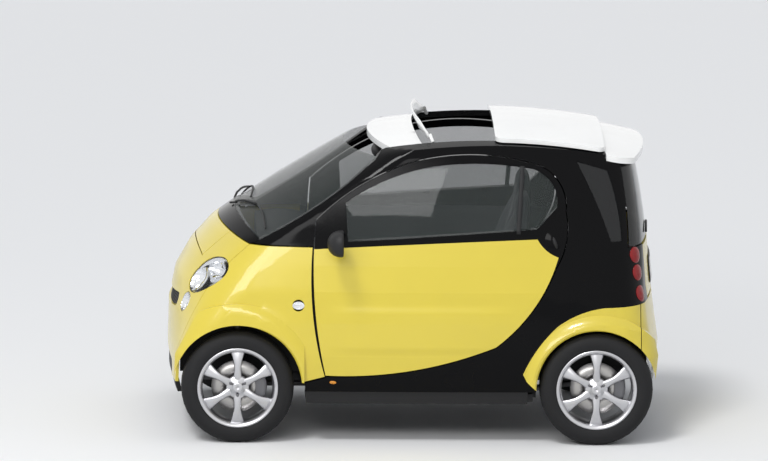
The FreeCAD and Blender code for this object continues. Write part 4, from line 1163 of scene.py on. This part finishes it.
def door_card(side, sign, tree, body):
    """Inner door trim with its armrest."""
    rows = []
    for step in range(CARD_ROWS + 1):
        z = CARD_LOW + (CARD_HIGH - CARD_LOW) * step / CARD_ROWS
        found = [x for x in (-0.78 + 0.01 * k for k in range(132))
                 if tree.ray_cast(Vector((x, 0.45 * sign, z)), Vector((0, sign, 0)),
                                  0.5)[0] is not None]
        rear_x, front_x = min(found) + CARD_MARGIN, max(found) - CARD_MARGIN
        rows.append([((rear_x + (front_x - rear_x) * k / CARD_COLUMNS, 0.45 * sign, z),
                      (0, sign, 0)) for k in range(CARD_COLUMNS + 1)])
    lining("door_card_" + side, tree, rows,
           lambda u, v: 0.005 + 0.026 * bump((v - 0.55) / 0.10) * bump((u - 0.52) / 0.36)
           - 0.002 * bump((v - 0.30) / 0.03), DASH, body)


def luggage_trim(side, sign):
    """Inner trim of the luggage space, over the lamps' backs."""
    rows = [[((-0.80, 0.20 * sign, z),
              (math.cos(math.radians(a)), sign * math.sin(math.radians(a)), 0.0))
             for a in (90 + 47 * k / 24 for k in range(25))]
            for z in (0.637 + 0.348 * step / 14 for step in range(15))]
    lining("luggage_trim_" + side, inner_tree, rows, lambda u, v: 0.006, TRIM, "car")


FOOTWELL_SECTION = ((0.366, 0.2512), (0.380, 0.254), (0.3855, 0.264), (0.387, 0.290),
                    (0.3865, 0.326))
FOOTWELL_STATIONS = (0.552, 0.60, 0.66, 0.72, 0.78, 0.815)


def footwell_edge(side, sign):
    """Strip between the floor and the front wheel liner."""
    verts = [Vector((x, sign * y, z)) for x in FOOTWELL_STATIONS for y, z in FOOTWELL_SECTION]
    faces = grid_faces(len(FOOTWELL_STATIONS), len(FOOTWELL_SECTION))
    thickened(add_mesh("footwell_edge_" + side, verts, faces, TRIM, "car"), 0.002, 0.0)


GLASS_RINGS = 4
GLASS_AROUND = 36


def mirror_glass(side, sign, body):
    """Slightly domed glass in the back of the mirror pod."""
    centre = Vector((0.3785, 0.800 * sign, 1.045))
    verts = [centre.copy()]
    for ring in range(1, GLASS_RINGS + 1):
        t = ring / GLASS_RINGS
        for k in range(GLASS_AROUND):
            c, s = rounded(2 * math.pi * k / GLASS_AROUND, 0.7)
            verts.append(centre + Vector((0.002 * t * t, 0.074 * t * c, 0.052 * t * s)))
    piece = add_mesh("mirror_glass_" + side, verts, disc_faces(GLASS_RINGS, GLASS_AROUND), CHROME,
                     body)
    tidy_normals(piece)


for side, sign in SIDES:
    sculpted_skin(side, sign)
    window_tree = shape_tree("door_frame_" + side, "door_glass_" + side)
    body = "door_" + side
    window_bar(side, sign, window_tree, body)
    door_handle(side, sign, window_tree, body)
    # Amber lamp on the sill under the door
    patch("sill_lamp_" + side, sill_tree, (0.425, 0.70 * sign, 0.318), (0, sign, 0), (1, 0, 0.06),
          0.017, 0.008, lambda t: 0.004 * (1 - t * t), AMBER, "car", rings=4, segments=24)
    pod = mirror_pod("mirror_pod_" + side, (0.405, 0.800 * sign, 1.045), 0.088, 0.066, 1.0, body)
    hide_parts("door_mirror_" + side)
    tube("mirror_arm_" + side,
         [(0.405, 0.662 * sign, 1.022), (0.406, 0.690 * sign, 1.024), (0.409, 0.715 * sign, 1.029),
          (0.412, 0.745 * sign, 1.036)], 0.013, TRIM, body)
    door_card(side, sign, window_tree, body)
    luggage_trim(side, sign)
    footwell_edge(side, sign)
    mirror_glass(side, sign, body)


# Floor

bpy.ops.mesh.primitive_plane_add(size=60, location=(0, 0, 0))
floor = bpy.context.object
floor.name = "studio_floor"
floor_mat = surface("floor_pale", (0.86, 0.86, 0.86), 0.8, grain=20, grain_depth=0.0, variation=0.0)
floor.data.materials.append(floor_mat)
